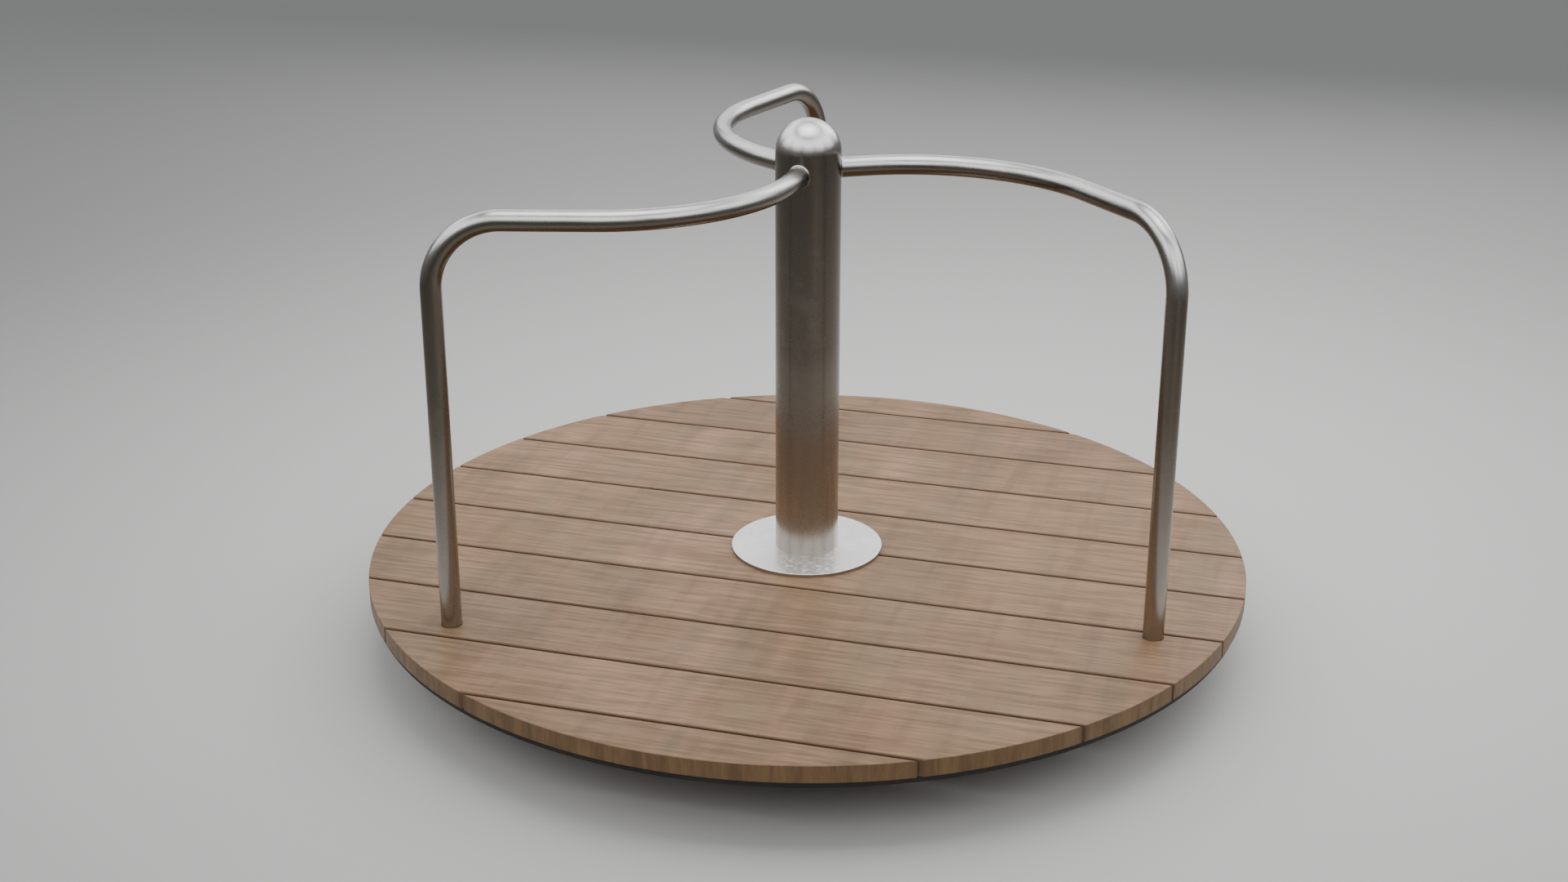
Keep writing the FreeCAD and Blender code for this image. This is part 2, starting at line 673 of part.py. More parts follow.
def board_rows():
    """Inner and outer screw row of each board, measured across the boards."""
    pitch = size("board_pitch")
    inset = size("board_gap / 2 + screw_row_inset")
    rows = []
    for number in range(boards_each_side()):
        inner = number * pitch + inset
        outer = (number + 1) * pitch - inset
        rows.append((inner, outer))
    return rows


def rim_screw_places():
    """Screws up through the rim ring, where it crosses each screw row of the boards."""
    circle = size(f"({RIM_OUTER} + {RIM_INNER}) / 2")
    reach = circle - size("screw_head_diameter")
    places = []
    for rows in board_rows():
        for across in rows:
            if across < reach:
                along = math.sqrt(circle ** 2 - across ** 2)
                places += [Vector(x, y, 0) for x in (-along, along) for y in (-across, across)]
    turn = Rotation(UP, size("board_turn"))
    return [turn.multVec(place) for place in places]


def arm_screw_places():
    """Pairs of screws up through an arm, where its middle crosses the middle of a board."""
    nearest = size("hub_plate_diameter / 2")
    furthest = size(f"{RIM_INNER} - screw_head_diameter")
    socket = size(LEG_RADIUS)
    socket_room = size(f"{SOCKET_RADIUS} + screw_head_diameter / 2 + bolt_head_across")
    pitch = size("board_pitch")
    sideways = size("screw_spread / 2")
    places = []
    for azimuth in arm_angles():
        slant = math.sin(math.radians(azimuth - size("board_turn")))
        for number in range(boards_each_side()):
            radius = (number + 0.5) * pitch / abs(slant)
            if nearest < radius < furthest and abs(radius - socket) > socket_room:
                middle = polar(radius, azimuth)
                side = polar(sideways, azimuth + 90)
                places += [middle - side, middle + side]
    return places


def upright_bars(places, diameter, foot, top):
    """Upright round bars at the given places, for drilling."""
    bars = [Part.makeCylinder(diameter / 2, top - foot, place + UP * foot) for place in places]
    return Part.makeCompound(bars)


def make_deck_screws():
    """One screw turned on the lathe, copied to every fixing: under the ring or under an arm."""
    screw = lathe("Screw", [
        ("0", "0"),
        ("screw_head_diameter / 2 - screw_head_chamfer", "0"),
        ("screw_head_diameter / 2", "screw_head_chamfer"),
        ("screw_head_diameter / 2", "screw_head_height"),
        ("screw_diameter / 2", "screw_head_height"),
        ("screw_diameter / 2", "screw_head_height + screw_length - screw_point_length"),
        ("screw_tip_diameter / 2", "screw_head_height + screw_length"),
        ("0", "screw_head_height + screw_length"),
    ])
    doc.recompute()
    under_rim = size(f"{BOARD_FOOT} - rim_thickness - screw_head_height")
    under_arm = size(f"{BOARD_FOOT} - arm_flange_thickness - screw_head_height")
    placed = [screw.Shape.translated(place + UP * under_rim) for place in rim_screw_places()]
    placed += [screw.Shape.translated(place + UP * under_arm) for place in arm_screw_places()]
    keep(coded("DeckScrews", Part.makeCompound(placed)), "deck_screws")
    return placed


def make_rim_ring():
    drill = size("screw_diameter + screw_clearance")
    top = size(BOARD_FOOT)
    holes = coded("RimDrill", upright_bars(rim_screw_places(), drill, 0, top + drill))
    flat = ring("RimFlat", RIM_INNER, RIM_OUTER, f"{BOARD_FOOT} - rim_thickness", BOARD_FOOT)
    keep(cut("RimRing", flat, holes), "rim_ring")


def make_arms():
    """T-section arms, deep at the hub and shallow at the rim ring."""
    flange_foot = f"({BOARD_FOOT} - arm_flange_thickness)"
    tip_foot = f"({BOARD_FOOT} - arm_tip_depth)"
    inside = f"({COLUMN_RADIUS} / 2)"
    drill = size("screw_diameter + screw_clearance")
    holes = coded("ArmDrill", upright_bars(arm_screw_places(), drill, 0, size("deck_height")))
    reach = primitive("Cylinder", "ArmReach", Radius=RIM_INNER, Height="deck_height")
    column = primitive("Cylinder", "ArmColumn", Radius=COLUMN_RADIUS, Height="deck_height")
    room = cut("ArmRoom", reach, column)
    sockets = [primitive("Cylinder", f"SocketRoom{number}", Radius=SOCKET_RADIUS,
                         Height="deck_height", Base_x=f"{LEG_RADIUS} * cos({azimuth})",
                         Base_y=f"{LEG_RADIUS} * sin({azimuth})")
               for number, azimuth in enumerate(rail_angles(), start=1)]
    voids = fused("ArmVoids", sockets + [holes])
    for number, azimuth in enumerate(arm_angles(), start=1):
        flange = primitive("Box", f"ArmFlange{number}", Length=f"{RIM_INNER} - {inside}",
                           Width="arm_flange_width", Height="arm_flange_thickness",
                           Base_x=inside, Base_y="-arm_flange_width / 2", Base_z=flange_foot)
        web = upright_plate(f"ArmWeb{number}", [
            (inside, ARM_FOOT),
            ("hub_plate_diameter / 2", ARM_FOOT),
            (RIM_INNER, tip_foot),
            (RIM_INNER, flange_foot),
            (inside, flange_foot),
        ], "arm_web_thickness")
        section = fused(f"ArmSection{number}", [flange, web])
        trimmed = turned(common(f"ArmTrimmed{number}", section, room), azimuth)
        keep(cut(f"Arm{number}", trimmed, voids), f"subframe_arm_{number}")


# ---- deck -------------------------------------------------------------------------------

def make_boards(screws):
    """Boards sawn from one round deck; they lie along X until the deck is turned."""
    turn = size("board_turn")
    back = Rotation(UP, -turn)
    disc = primitive("Cylinder", "DeckDisc", Radius="platform_diameter / 2",
                     Height="board_thickness", Base_z=BOARD_FOOT)
    column = Part.makeCylinder(size(f"{COLUMN_RADIUS} + deck_hole_clearance"), size("deck_height"))
    leg = size("rail_diameter / 2 + rail_hole_clearance")
    feet = [back.multVec(polar(size(LEG_RADIUS), azimuth)) for azimuth in rail_angles()]
    leg_holes = upright_bars(feet, 2 * leg, 0, size("deck_height"))
    pilots = [screw.rotated(Vector(), UP, -turn) for screw in screws]
    holes = coded("DeckHoles", Part.makeCompound([column] + leg_holes.Solids + pilots))
    each_side = boards_each_side()
    for number in range(1, 2 * each_side + 1):
        offset = f"({number - 1 - each_side} * board_pitch + board_gap / 2)"
        strip = primitive("Box", f"Strip{number}", Length="platform_diameter",
                          Width="board_pitch - board_gap", Height="board_thickness",
                          Base_x="-platform_diameter / 2", Base_y=offset, Base_z=BOARD_FOOT)
        blank = common(f"BoardBlank{number}", strip, disc)
        doc.recompute()
        eased = doc.addObject("Part::Fillet", f"BoardEased{number}")
        eased.Base = blank
        eased.Edges = long_top_edges(blank.Shape)
        board = cut(f"Board{number}", eased, holes)
        keep(turned(board, turn), f"deck_board_{number:02d}")


def long_top_edges(shape):
    """The straight top edges that run the length of a board, with their radius."""
    top = size("deck_height")
    arris = size("board_arris")
    chosen = []
    for number, edge in enumerate(shape.Edges, start=1):
        ends = [vertex.Z for vertex in edge.Vertexes]
        if isinstance(edge.Curve, Part.Line) and all(abs(end - top) < 1e-6 for end in ends):
            chosen.append((number, arris, arris))
    return chosen


# ---- build, test and write --------------------------------------------------------------

def check_document():
    """Stop if any object failed or any sub-part is empty or invalid."""
    doc.recompute()
    for item in doc.Objects:
        if "Invalid" in item.State or "Error" in item.State:
            raise RuntimeError(f"{item.Label} failed: {item.State}")
    for piece in pieces:
        if piece.Shape.isNull() or not piece.Shape.Solids or not piece.Shape.isValid():
            raise RuntimeError(f"{piece.Label} has no valid solid")


def write_pieces():
    os.makedirs("parts", exist_ok=True)
    for piece in pieces:
        piece.Shape.exportStep(f"parts/{piece.Label}.step")
        print(f"{piece.Label}: {len(piece.Shape.Solids)} solids, {piece.Shape.Volume / 1000:.2f} cm3")


make_ground_plate()
make_spindle()
make_gussets()
make_lock_nut()
make_bearing("lower", LOWER_FOOT)
make_bearing("upper", UPPER_FOOT)
make_carriers()
make_circlip_and_seal()
make_column()
make_handrails()
make_sockets()
deck_screws = make_deck_screws()
make_rim_ring()
make_arms()
make_boards(deck_screws)
check_document()
write_pieces()
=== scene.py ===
import json
import math

import bmesh
import bpy
from bpy.props import FloatProperty, FloatVectorProperty, PointerProperty
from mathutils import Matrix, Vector


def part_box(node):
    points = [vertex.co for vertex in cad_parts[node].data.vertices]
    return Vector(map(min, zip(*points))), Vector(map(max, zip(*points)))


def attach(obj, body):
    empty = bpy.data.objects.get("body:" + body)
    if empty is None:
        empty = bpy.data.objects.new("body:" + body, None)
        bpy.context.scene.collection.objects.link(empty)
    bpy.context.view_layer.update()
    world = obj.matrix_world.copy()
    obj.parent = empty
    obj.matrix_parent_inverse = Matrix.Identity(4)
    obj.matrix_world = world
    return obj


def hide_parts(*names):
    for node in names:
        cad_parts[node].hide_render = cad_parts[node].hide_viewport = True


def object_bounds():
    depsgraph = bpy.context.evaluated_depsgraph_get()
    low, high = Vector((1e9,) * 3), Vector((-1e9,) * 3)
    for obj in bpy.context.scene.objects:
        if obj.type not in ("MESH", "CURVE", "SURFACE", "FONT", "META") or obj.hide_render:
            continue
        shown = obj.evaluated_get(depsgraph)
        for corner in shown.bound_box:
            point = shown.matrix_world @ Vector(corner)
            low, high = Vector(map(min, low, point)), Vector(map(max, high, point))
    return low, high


# Looks of a playground roundabout: a round timber deck, a domed steel column with a cover
# flange, and three swept handrails. Metres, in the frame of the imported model.

bl_info = {
    "name": "Playground Roundabout Looks",
    "version": (1, 0, 0),
    "blender": (4, 5, 0),
    "location": "3D View > Sidebar > Roundabout",
    "description": "Timber deck, galvanised rails and finishes for a playground roundabout",
    "category": "Object",
}

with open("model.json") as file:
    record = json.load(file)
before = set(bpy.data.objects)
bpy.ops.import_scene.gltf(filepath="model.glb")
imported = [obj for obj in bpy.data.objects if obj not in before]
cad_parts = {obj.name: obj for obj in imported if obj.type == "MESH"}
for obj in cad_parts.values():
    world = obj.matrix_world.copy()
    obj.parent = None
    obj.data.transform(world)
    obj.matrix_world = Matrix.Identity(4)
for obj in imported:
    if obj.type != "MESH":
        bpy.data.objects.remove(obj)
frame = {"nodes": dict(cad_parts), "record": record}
CAD_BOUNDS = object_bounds()
PLATFORM = "platform"
BASE = "base"
MM = 0.001
ROUND_STEPS = 160
TUBE_SIDES = 48


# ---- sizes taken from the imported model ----

def named(beginning):
    """Names of the model's nodes that begin with a word, in order."""
    return sorted(name for name in frame["nodes"] if name.startswith(beginning))


def foot(node):
    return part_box(node)[0][2]


def top(node):
    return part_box(node)[1][2]


def radius(node):
    """Outside radius of a node that is turned about the spin axis."""
    low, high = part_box(node)
    return (high[0] - low[0]) / 2


def middle(node):
    low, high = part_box(node)
    return (Vector(low) + Vector(high)) / 2


DECK_BOARDS = named("deck_board_")
SOCKETS = named("handrail_socket_")
HANDRAILS = [f"handrail_{number}" for number in range(1, len(SOCKETS) + 1)]
ARMS = named("subframe_arm_")
GUSSETS = named("gusset_")
DECK_RADIUS = (CAD_BOUNDS[1][0] - CAD_BOUNDS[0][0]) / 2
COLUMN_RADIUS = radius("column_tube")
LEG_CIRCLE = middle(SOCKETS[0]).xy.length
LEG_AZIMUTHS = [math.atan2(middle(name).y, middle(name).x) for name in SOCKETS]


# ---- settings ----

def length(default, description):
    return FloatProperty(description=description, default=default, min=0.0, precision=4,
                         unit="LENGTH", subtype="DISTANCE")


def angle(default, description):
    return FloatProperty(description=description, default=math.radians(default),
                         unit="ROTATION", subtype="ANGLE")


def colour(default, description):
    return FloatVectorProperty(description=description, default=default, size=3, min=0.0,
                               max=1.0, subtype="COLOR")


def power(default, description):
    return FloatProperty(description=description, default=default, min=0.0)


def share(default, description):
    return FloatProperty(description=description, default=default, min=0.0, max=1.0,
                         subtype="FACTOR")


class DeckSettings(bpy.types.PropertyGroup):
    """Sizes and colours of the timber deck."""
    board_pitch: length(0.165, "Middle of one gap to the middle of the next")
    board_gap: length(0.005, "Open gap between two boards")
    board_turn: angle(-15.7, "Direction of the boards, from +X")
    arris: length(0.003, "Radius on the long top edges")
    end_arris: length(0.0008, "Chamfer round the edge of the deck")
    leg_gap: length(0.0005, "Boards to a handrail leg, all round")
    column_gap: length(0.002, "Boards to the column, all round")
    heart: colour((0.262, 0.151, 0.078), "Colour of most of the timber")
    pink: colour((0.335, 0.193, 0.112), "Warmer bands across the boards")
    grey: colour((0.218, 0.146, 0.076), "Cooler, greener bands across the boards")
    # the colour of the fine dark lines, also used for the painted shade along the gaps
    grain: colour((0.090, 0.044, 0.021), "Fine dark lines along the boards")
    end_grain: colour((0.166, 0.096, 0.039), "Colour of the sawn edge of the deck")
    end_streak: colour((0.078, 0.040, 0.014), "Streaks in the sawn edge")
    pink_share: share(0.85, "Strength of the pink figure")
    grey_share: share(0.80, "Strength of the grey figure")
    band_share: share(0.26, "Strength of the dark bands")
    line_share: share(0.52, "Strength of the fine lines")
    growth_share: share(0.14, "Strength of the broad growth lines")
    pore_share: share(0.25, "Strength of the short dark pores")
    streak_share: share(0.70, "Strength of the streaks in the sawn edge")


class RailSettings(bpy.types.PropertyGroup):
    """Sizes of the handrails and their welds."""
    tube_diameter: length(0.0337, "Outside of a handrail tube")
    lead: length(0.097, "Spin axis to the start of the sweep")
    bend_radius: length(0.110, "Centre-line radius of the bend into the leg")
    leaving: angle(45.0, "From the leg to where the rail leaves the column")
    arriving: angle(-29.0, "From the leg's radius to the outer straight run")
    weld: length(0.003, "Leg length of the weld at the column")


class ColumnSettings(bpy.types.PropertyGroup):
    """Sizes of the column and its cover flange."""
    wall: length(0.004, "Wall of the column tube")
    flange_edge: length(0.0008, "Rounded edge of the cover flange")


class FastenerSettings(bpy.types.PropertyGroup):
    """Sizes of the deck screws, and of the weld beads with the steel they follow."""
    head_diameter: length(0.016, "Head of a deck screw")
    head_height: length(0.0045, "Height of a deck screw's head")
    shank_diameter: length(0.008, "Shank of a deck screw")
    shank_length: length(0.030, "Deck screw under its head")
    recess_across: length(0.006, "Recess in the head of a deck screw")
    bead_width: length(0.005, "Width of a weld bead")
    bead_step: length(0.0022, "Spacing of the ripples in a weld")
    bead_inset: length(0.001, "Middle of a bead from the steel on both sides")
    spindle_end: length(0.004, "Spindle to the inner end of a gusset's weld")
    toe_end: length(0.002, "Outer end of a gusset's weld to its toe")
    ring_reach: length(0.038, "Circle of the legs to the inside of the rim ring")
    arm_width: length(0.050, "Width of an arm's top flange")
    arm_flange: length(0.008, "Thickness of an arm's top flange")
    arm_web: length(0.008, "Thickness of an arm's web")


class MetalSettings(bpy.types.PropertyGroup):
    """Colours of the metals."""
    column_steel: colour((0.68, 0.68, 0.67), "Galvanised column")
    # painted shade: the dark colour that upright galvanised steel takes, as if its sides stood in
    # shade
    patina: colour((0.150, 0.130, 0.105), "Galvanised steel where rain doesn't wash it")
    # painted reflection: the lighter, warmer colour of upright steel near the deck stands in for
    # the deck's reflection, and the two heights below bound it
    scuffed: colour((0.36, 0.325, 0.285), "Upright steel near the deck, rubbed by shoes")
    reflection_foot: length(0.20, "Height below which upright steel is all scuffed")
    reflection_top: length(0.52, "Height above which upright steel isn't scuffed")
    flange_steel: colour((0.90, 0.90, 0.895), "Galvanised cover flange")
    rail_steel: colour((0.56, 0.56, 0.55), "Galvanised handrails")
    base_steel: colour((0.50, 0.51, 0.52), "Galvanised ground plate and gussets")
    shaft_steel: colour((0.55, 0.55, 0.56), "Machined spindle and carriers")
    bearing_steel: colour((0.70, 0.70, 0.72), "Ground rings and balls")
    paint: colour((0.012, 0.011, 0.010), "Powder coat of the rim ring")
    frame_paint: colour((0.030, 0.030, 0.032), "Powder coat of the subframe")


class StageSettings(bpy.types.PropertyGroup):
    """Camera, floor and lights."""
    view_angle: angle(40.0, "Horizontal field of view")
    tilt: angle(21.77, "Camera below the horizon")
    pan: angle(0.663, "Camera to the left of +Y")
    distance: length(3.4126, "Camera in front of the spin axis")
    height: length(1.699, "Camera above the floor")
    floor_half: length(30.0, "Half the side of the floor")
    floor: colour((0.52, 0.515, 0.505), "Pale studio floor")
    sky: colour((0.95, 0.97, 1.0), "Soft light from above, all round")
    horizon: colour((0.47, 0.475, 0.48), "Surroundings near the floor")
    warm: colour((1.0, 0.88, 0.76), "Colour of the kick light")
    sky_strength: power(0.42, "Brightness of the light from above")
    top_light: power(25.0, "Softbox over the deck, in watts")
    back_light: power(62.0, "Softbox behind the object, in watts")
    ring_light: power(6.0, "Each softbox of the ring, in watts")
    kick_light: power(4.0, "Warm softbox in front on the right, in watts")
    wide_grid: angle(80.0, "Spread of the softbox over the deck")
    narrow_grid: angle(68.0, "Spread of the other gridded softboxes")


SETTINGS = {
    "roundabout_deck": DeckSettings,
    "roundabout_rails": RailSettings,
    "roundabout_column": ColumnSettings,
    "roundabout_fasteners": FastenerSettings,
    "roundabout_metals": MetalSettings,
    "roundabout_stage": StageSettings,
}


# ---- node trees ----

class Field:
    """A node's output that sums can be written on; each step adds a Math node."""

    def __init__(self, tree, socket):
        self.tree = tree
        self.socket = socket

    def math(self, operation, *others):
        made = self.tree.nodes.new("ShaderNodeMath")
        made.operation = operation
        for index, value in enumerate((self, *others)):
            plug(self.tree, value, made.inputs[index])
        return Field(self.tree, made.outputs[0])

    def __add__(self, other):
        return self.math("ADD", other)

    def __sub__(self, other):
        return self.math("SUBTRACT", other)

    def __mul__(self, other):
        return self.math("MULTIPLY", other)

    def __truediv__(self, other):
        return self.math("DIVIDE", other)


def plug(tree, value, socket):
    """Link an output to a socket, or set its own value; a colour is given its alpha."""
    if isinstance(value, Field):
        tree.links.new(value.socket, socket)
    elif socket.type == "RGBA":
        socket.default_value = (*value, 1.0)
    else:
        socket.default_value = value


def shown(sockets, name):
    """The socket of that name that is in use."""
    return next(socket for socket in sockets if socket.name == name and socket.enabled)


def add(tree, kind, inputs=None, output=0, **settings):
    """Add a node, fill its inputs and return one of its outputs."""
    made = tree.nodes.new(kind)
    for name, value in settings.items():
        setattr(made, name, value)
    for name, value in (inputs or {}).items():
        plug(tree, value, shown(made.inputs, name))
    chosen = made.outputs[output] if isinstance(output, int) else shown(made.outputs, output)
    return Field(tree, chosen)


def blended(tree, factor, first, second):
    """Mix two colours."""
    return add(tree, "ShaderNodeMix", {"Factor": factor, "A": first, "B": second},
               output="Result", data_type="RGBA")


def ramped(tree, value, low, high, at_low=0.0, at_high=1.0):
    """Carry a number from one range to another, held at the ends."""
    return add(tree, "ShaderNodeMapRange", {
        "Value": value, "From Min": low, "From Max": high, "To Min": at_low, "To Max": at_high})


def parts_of(tree, vector):
    """The X, Y and Z of a vector."""
    made = tree.nodes.new("ShaderNodeSeparateXYZ")
    plug(tree, vector, made.inputs[0])
    return [Field(tree, part) for part in made.outputs]


def joined(tree, x=0.0, y=0.0, z=0.0):
    """A vector from its X, Y and Z."""
    return add(tree, "ShaderNodeCombineXYZ", {"X": x, "Y": y, "Z": z})


class Surface:
    """A material with its shader, and the noises that read the object's own coordinates."""

    def __init__(self, name):
        self.material = bpy.data.materials.new(f"{name}_finish")
        self.material["finish"] = name
        self.material.use_nodes = True
        self.tree = self.material.node_tree
        self.shader = next(item for item in self.tree.nodes if item.type == "BSDF_PRINCIPLED")
        self.place = add(self.tree, "ShaderNodeTexCoord", output="Object")

    def set(self, **values):
        """Set the shader's sockets; underscores stand for spaces."""
        for name, value in values.items():
            plug(self.tree, value, self.shader.inputs[name.replace("_", " ")])

    def mapped(self, stretch=(1, 1, 1), turn=0.0):
        return add(self.tree, "ShaderNodeMapping", {
            "Vector": self.place, "Scale": stretch, "Rotation": (0, 0, -turn)})

    def noise(self, scale, detail=3.0, roughness=0.5, distortion=0.0, vector=None):
        return add(self.tree, "ShaderNodeTexNoise", {
            "Vector": vector or self.place, "Scale": scale, "Detail": detail,
            "Roughness": roughness, "Distortion": distortion})

    def bump(self, height, strength, distance):
        return add(self.tree, "ShaderNodeBump", {
            "Height": height, "Strength": strength, "Distance": distance})

    def upward(self):
        """How far the surface faces up: 1 on top, 0 on a wall, -1 underneath."""
        return parts_of(self.tree, add(self.tree, "ShaderNodeNewGeometry", output="Normal"))[2]


# ---- finishes ----

def timber():
    """Oiled hardwood: fine lines along each board, soft bands across, darker sawn edges, and
    painted shade along the gaps.
    """
    deck = bpy.context.scene.roundabout_deck
    wood = Surface("deck_timber")
    tree = wood.tree
    along, across, height = parts_of(tree, wood.mapped(turn=deck.board_turn))
    board = (across / deck.board_pitch).math("FLOOR")
    chance = tree.nodes.new("ShaderNodeTexWhiteNoise")
    chance.noise_dimensions = "1D"
    plug(tree, board + 0.5, chance.inputs["W"])
    luck = Field(tree, chance.outputs["Value"])

    def stretched(counts, shift, sideways=across):
        """Board coordinates, so many to a metre along, across and up; luck moves them along."""
        run, span, depth = counts
        return joined(tree, along * run + luck * shift, sideways * span, height * depth)

    def figure(counts, shift, limits, sideways=across, detail=2.0, **kind):
        """Noise in board coordinates: 0 below the first limit, 1 above the second."""
        cloud = wood.noise(1.0, detail, vector=stretched(counts, shift, sideways), **kind)
        return ramped(tree, cloud, *limits)

    wander = wood.noise(1.0, detail=2.0, vector=stretched((3.4, 9.0, 6.0), 13.0)) - 0.5
    wavy = across + wander * (14 * MM)
    lines = figure((8.5, 135.0, 60.0), 31.0, (0.38, 0.62), wavy, detail=3.0, roughness=0.66)
    growth = figure((2.4, 46.0, 20.0), 17.0, (0.30, 0.72), wavy, distortion=0.6)
    pore = figure((26.0, 620.0, 120.0), 5.0, (0.60, 0.74), wavy)
    cooler = figure((11.0, 2.4, 2.0), 1.1, (0.47, 0.62), roughness=0.45, distortion=0.4)
    warmer = figure((7.0, 1.9, 2.0), 3.3, (0.48, 0.66), roughness=0.45, distortion=0.3)
    bands = figure((30.0, 3.2, 2.0), 4.7, (0.50, 0.68), distortion=0.2)

    tone = blended(tree, warmer * deck.pink_share, deck.heart, deck.pink)
    tone = blended(tree, cooler * deck.grey_share, tone, deck.grey)
    darkenings = (bands * deck.band_share, (lines * -1.0 + 1.0) * deck.line_share,
                  (growth * -1.0 + 1.0) * deck.growth_share, pore * deck.pore_share)
    for amount in darkenings:
        tone = blended(tree, amount, tone, deck.grain)
    lighter = luck * 0.16 + 0.92
    tone = add(tree, "ShaderNodeHueSaturation", {"Color": tone, "Value": lighter}, output="Color")

    # the sawn edge of the deck and the walls of the gaps
    upright = ramped(tree, wood.upward().math("ABSOLUTE"), 0.35, 0.75, 1.0, 0.0)
    streak = figure((55.0, 55.0, 7.0), 0.0, (0.38, 0.62), detail=4.0, roughness=0.7)
    cut_end = blended(tree, streak * deck.streak_share, deck.end_grain, deck.end_streak)
    tone = blended(tree, upright, tone, cut_end)
    # painted shade: the timber darkens towards the dark line colour within a few millimetres of
    # each gap
    edge = (across / deck.board_pitch).math("FRACT") - 0.5
    inward = (edge.math("ABSOLUTE") * -1.0 + 0.5) * deck.board_pitch
    gap_shade = ramped(tree, inward, 2.5 * MM, 6.5 * MM, 0.75, 0.0)
    tone = blended(tree, gap_shade, tone, deck.grain)

    relief = lines * 0.6 + growth * 0.4 - pore * 0.5
    worn = wood.noise(5.0, 3.0)
    rough = lines * -0.10 + worn * 0.16 + 0.46
    wood.set(Base_Color=tone, Roughness=rough, Specular_IOR_Level=0.42,
             Normal=wood.bump(relief, 0.30, 0.5 * MM))
    return wood.material


def galvanised(name, steel, roughness, spangle, speckle, grains=300.0):
    """Hot-dip galvanised steel, burnished: faint crystals, clouds, speckle and fine scratches.
    Upright faces are painted darker as shade, and lighter and warmer near the deck as a painted
    reflection of the deck.

    Spangle and speckle are how far its crystals and grains roughen it; grains counts the grains
    in a metre.
    """
    metals = bpy.context.scene.roundabout_metals
    metal = Surface(name)
    tree = metal.tree
    crystals = add(tree, "ShaderNodeTexVoronoi", {"Vector": metal.place, "Scale": 75.0},
                   output="Color")
    crystal = add(tree, "ShaderNodeRGBToBW", {"Color": crystals})
    clouds = ramped(tree, metal.noise(9.0, 4.0, 0.6), 0.30, 0.72)
    grit = ramped(tree, metal.noise(grains, 3.0, 0.7), 0.45, 0.75)
    rubbed = metal.mapped(stretch=(60, 60, 900))
    scratches = ramped(tree, metal.noise(1.0, 2.0, 0.7, 0.4, vector=rubbed), 0.64, 0.74)
    light = [min(1.0, part * 1.08) for part in steel]
    dark = [part * 0.80 for part in steel]
    steel_tone = blended(tree, clouds * 0.42 + crystal * 0.28 + grit * (1.5 * speckle), dark, light)
    # painted light: faces that look up keep the steel's own colour, and upright faces take the
    # painted shade colour
    lit_top_share = ramped(tree, metal.upward() + (clouds - 0.5) * 0.08, 0.02, 0.36)
    height = parts_of(tree, metal.place)[2]
    # painted reflection of the deck: upright steel turns lighter and warmer towards the deck
    deck_reflection_share = ramped(tree, height + (clouds - 0.5) * (40 * MM),
                        metals.reflection_foot, metals.reflection_top, 1.0, 0.0)
    upright = blended(tree, deck_reflection_share, metals.patina, metals.scuffed)
    tone = blended(tree, lit_top_share, upright, steel_tone)
    rough = clouds * 0.07 + crystal * spangle + grit * speckle + scratches * 0.05
    relief = grit * 0.6 + clouds * 0.4
    metal.set(Base_Color=tone, Metallic=1.0, Roughness=rough + (roughness - 0.06),
              Normal=metal.bump(relief, 0.022, 0.10 * MM))
    return metal.material


def powder_coat(name, paint, roughness):
    """Powder coat with its orange-peel skin and patches of dust."""
    coat = Surface(name)
    tree = coat.tree
    peel = coat.noise(520.0, 2.0)
    dust = ramped(tree, coat.noise(11.0, 4.0, 0.6), 0.45, 0.78)
    tone = blended(tree, dust * 0.10, paint, (0.20, 0.17, 0.14))
    coat.set(Base_Color=tone, Roughness=dust * 0.18 + roughness, Specular_IOR_Level=0.30,
             Normal=coat.bump(peel, 0.18, 0.15 * MM))
    return coat.material


def turned_steel(name, steel, roughness):
    """Machined steel with fine rings about the spin axis."""
    metal = Surface(name)
    tree = metal.tree
    rings = ramped(tree, metal.noise(1.0, 2.0, vector=metal.mapped(stretch=(4, 4, 1500))), 0.3, 0.7)
    film = metal.noise(30.0, 3.0)
    tone = blended(tree, film, [part * 0.88 for part in steel], steel)
    metal.set(Base_Color=tone, Metallic=1.0, Roughness=film * 0.12 + rings * 0.08 + roughness,
              Normal=metal.bump(rings, 0.08, 0.05 * MM))
    return metal.material


def zinc(name):
    """Zinc plating, slightly dulled, for bolts, nuts and screws."""
    metal = Surface(name)
    tree = metal.tree
    bloom = ramped(tree, metal.noise(120.0, 4.0, 0.6), 0.35, 0.70)
    tone = blended(tree, bloom, (0.50, 0.51, 0.50), (0.64, 0.63, 0.58))
    metal.set(Base_Color=tone, Metallic=1.0, Roughness=bloom * 0.16 + 0.30,
              Normal=metal.bump(bloom, 0.10, 0.05 * MM))
    return metal.material


def weld_metal(name):
    """Galvanised weld beads: duller and lumpier than the steel beside them."""
    metal = Surface(name)
    tree = metal.tree
    lumps = metal.noise(260.0, 4.0, 0.65)
    tone = blended(tree, lumps, (0.44, 0.44, 0.43), (0.62, 0.61, 0.59))
    metal.set(Base_Color=tone, Metallic=1.0, Roughness=lumps * 0.20 + 0.26,
              Normal=metal.bump(lumps, 0.25, 0.2 * MM))
    return metal.material


def brass(name):
    metal = Surface(name)
    tree = metal.tree
    tarnish = ramped(tree, metal.noise(60.0, 4.0), 0.4, 0.7)
    tone = blended(tree, tarnish, (0.66, 0.46, 0.19), (0.42, 0.28, 0.12))
    metal.set(Base_Color=tone, Metallic=1.0, Roughness=tarnish * 0.2 + 0.25)
    return metal.material


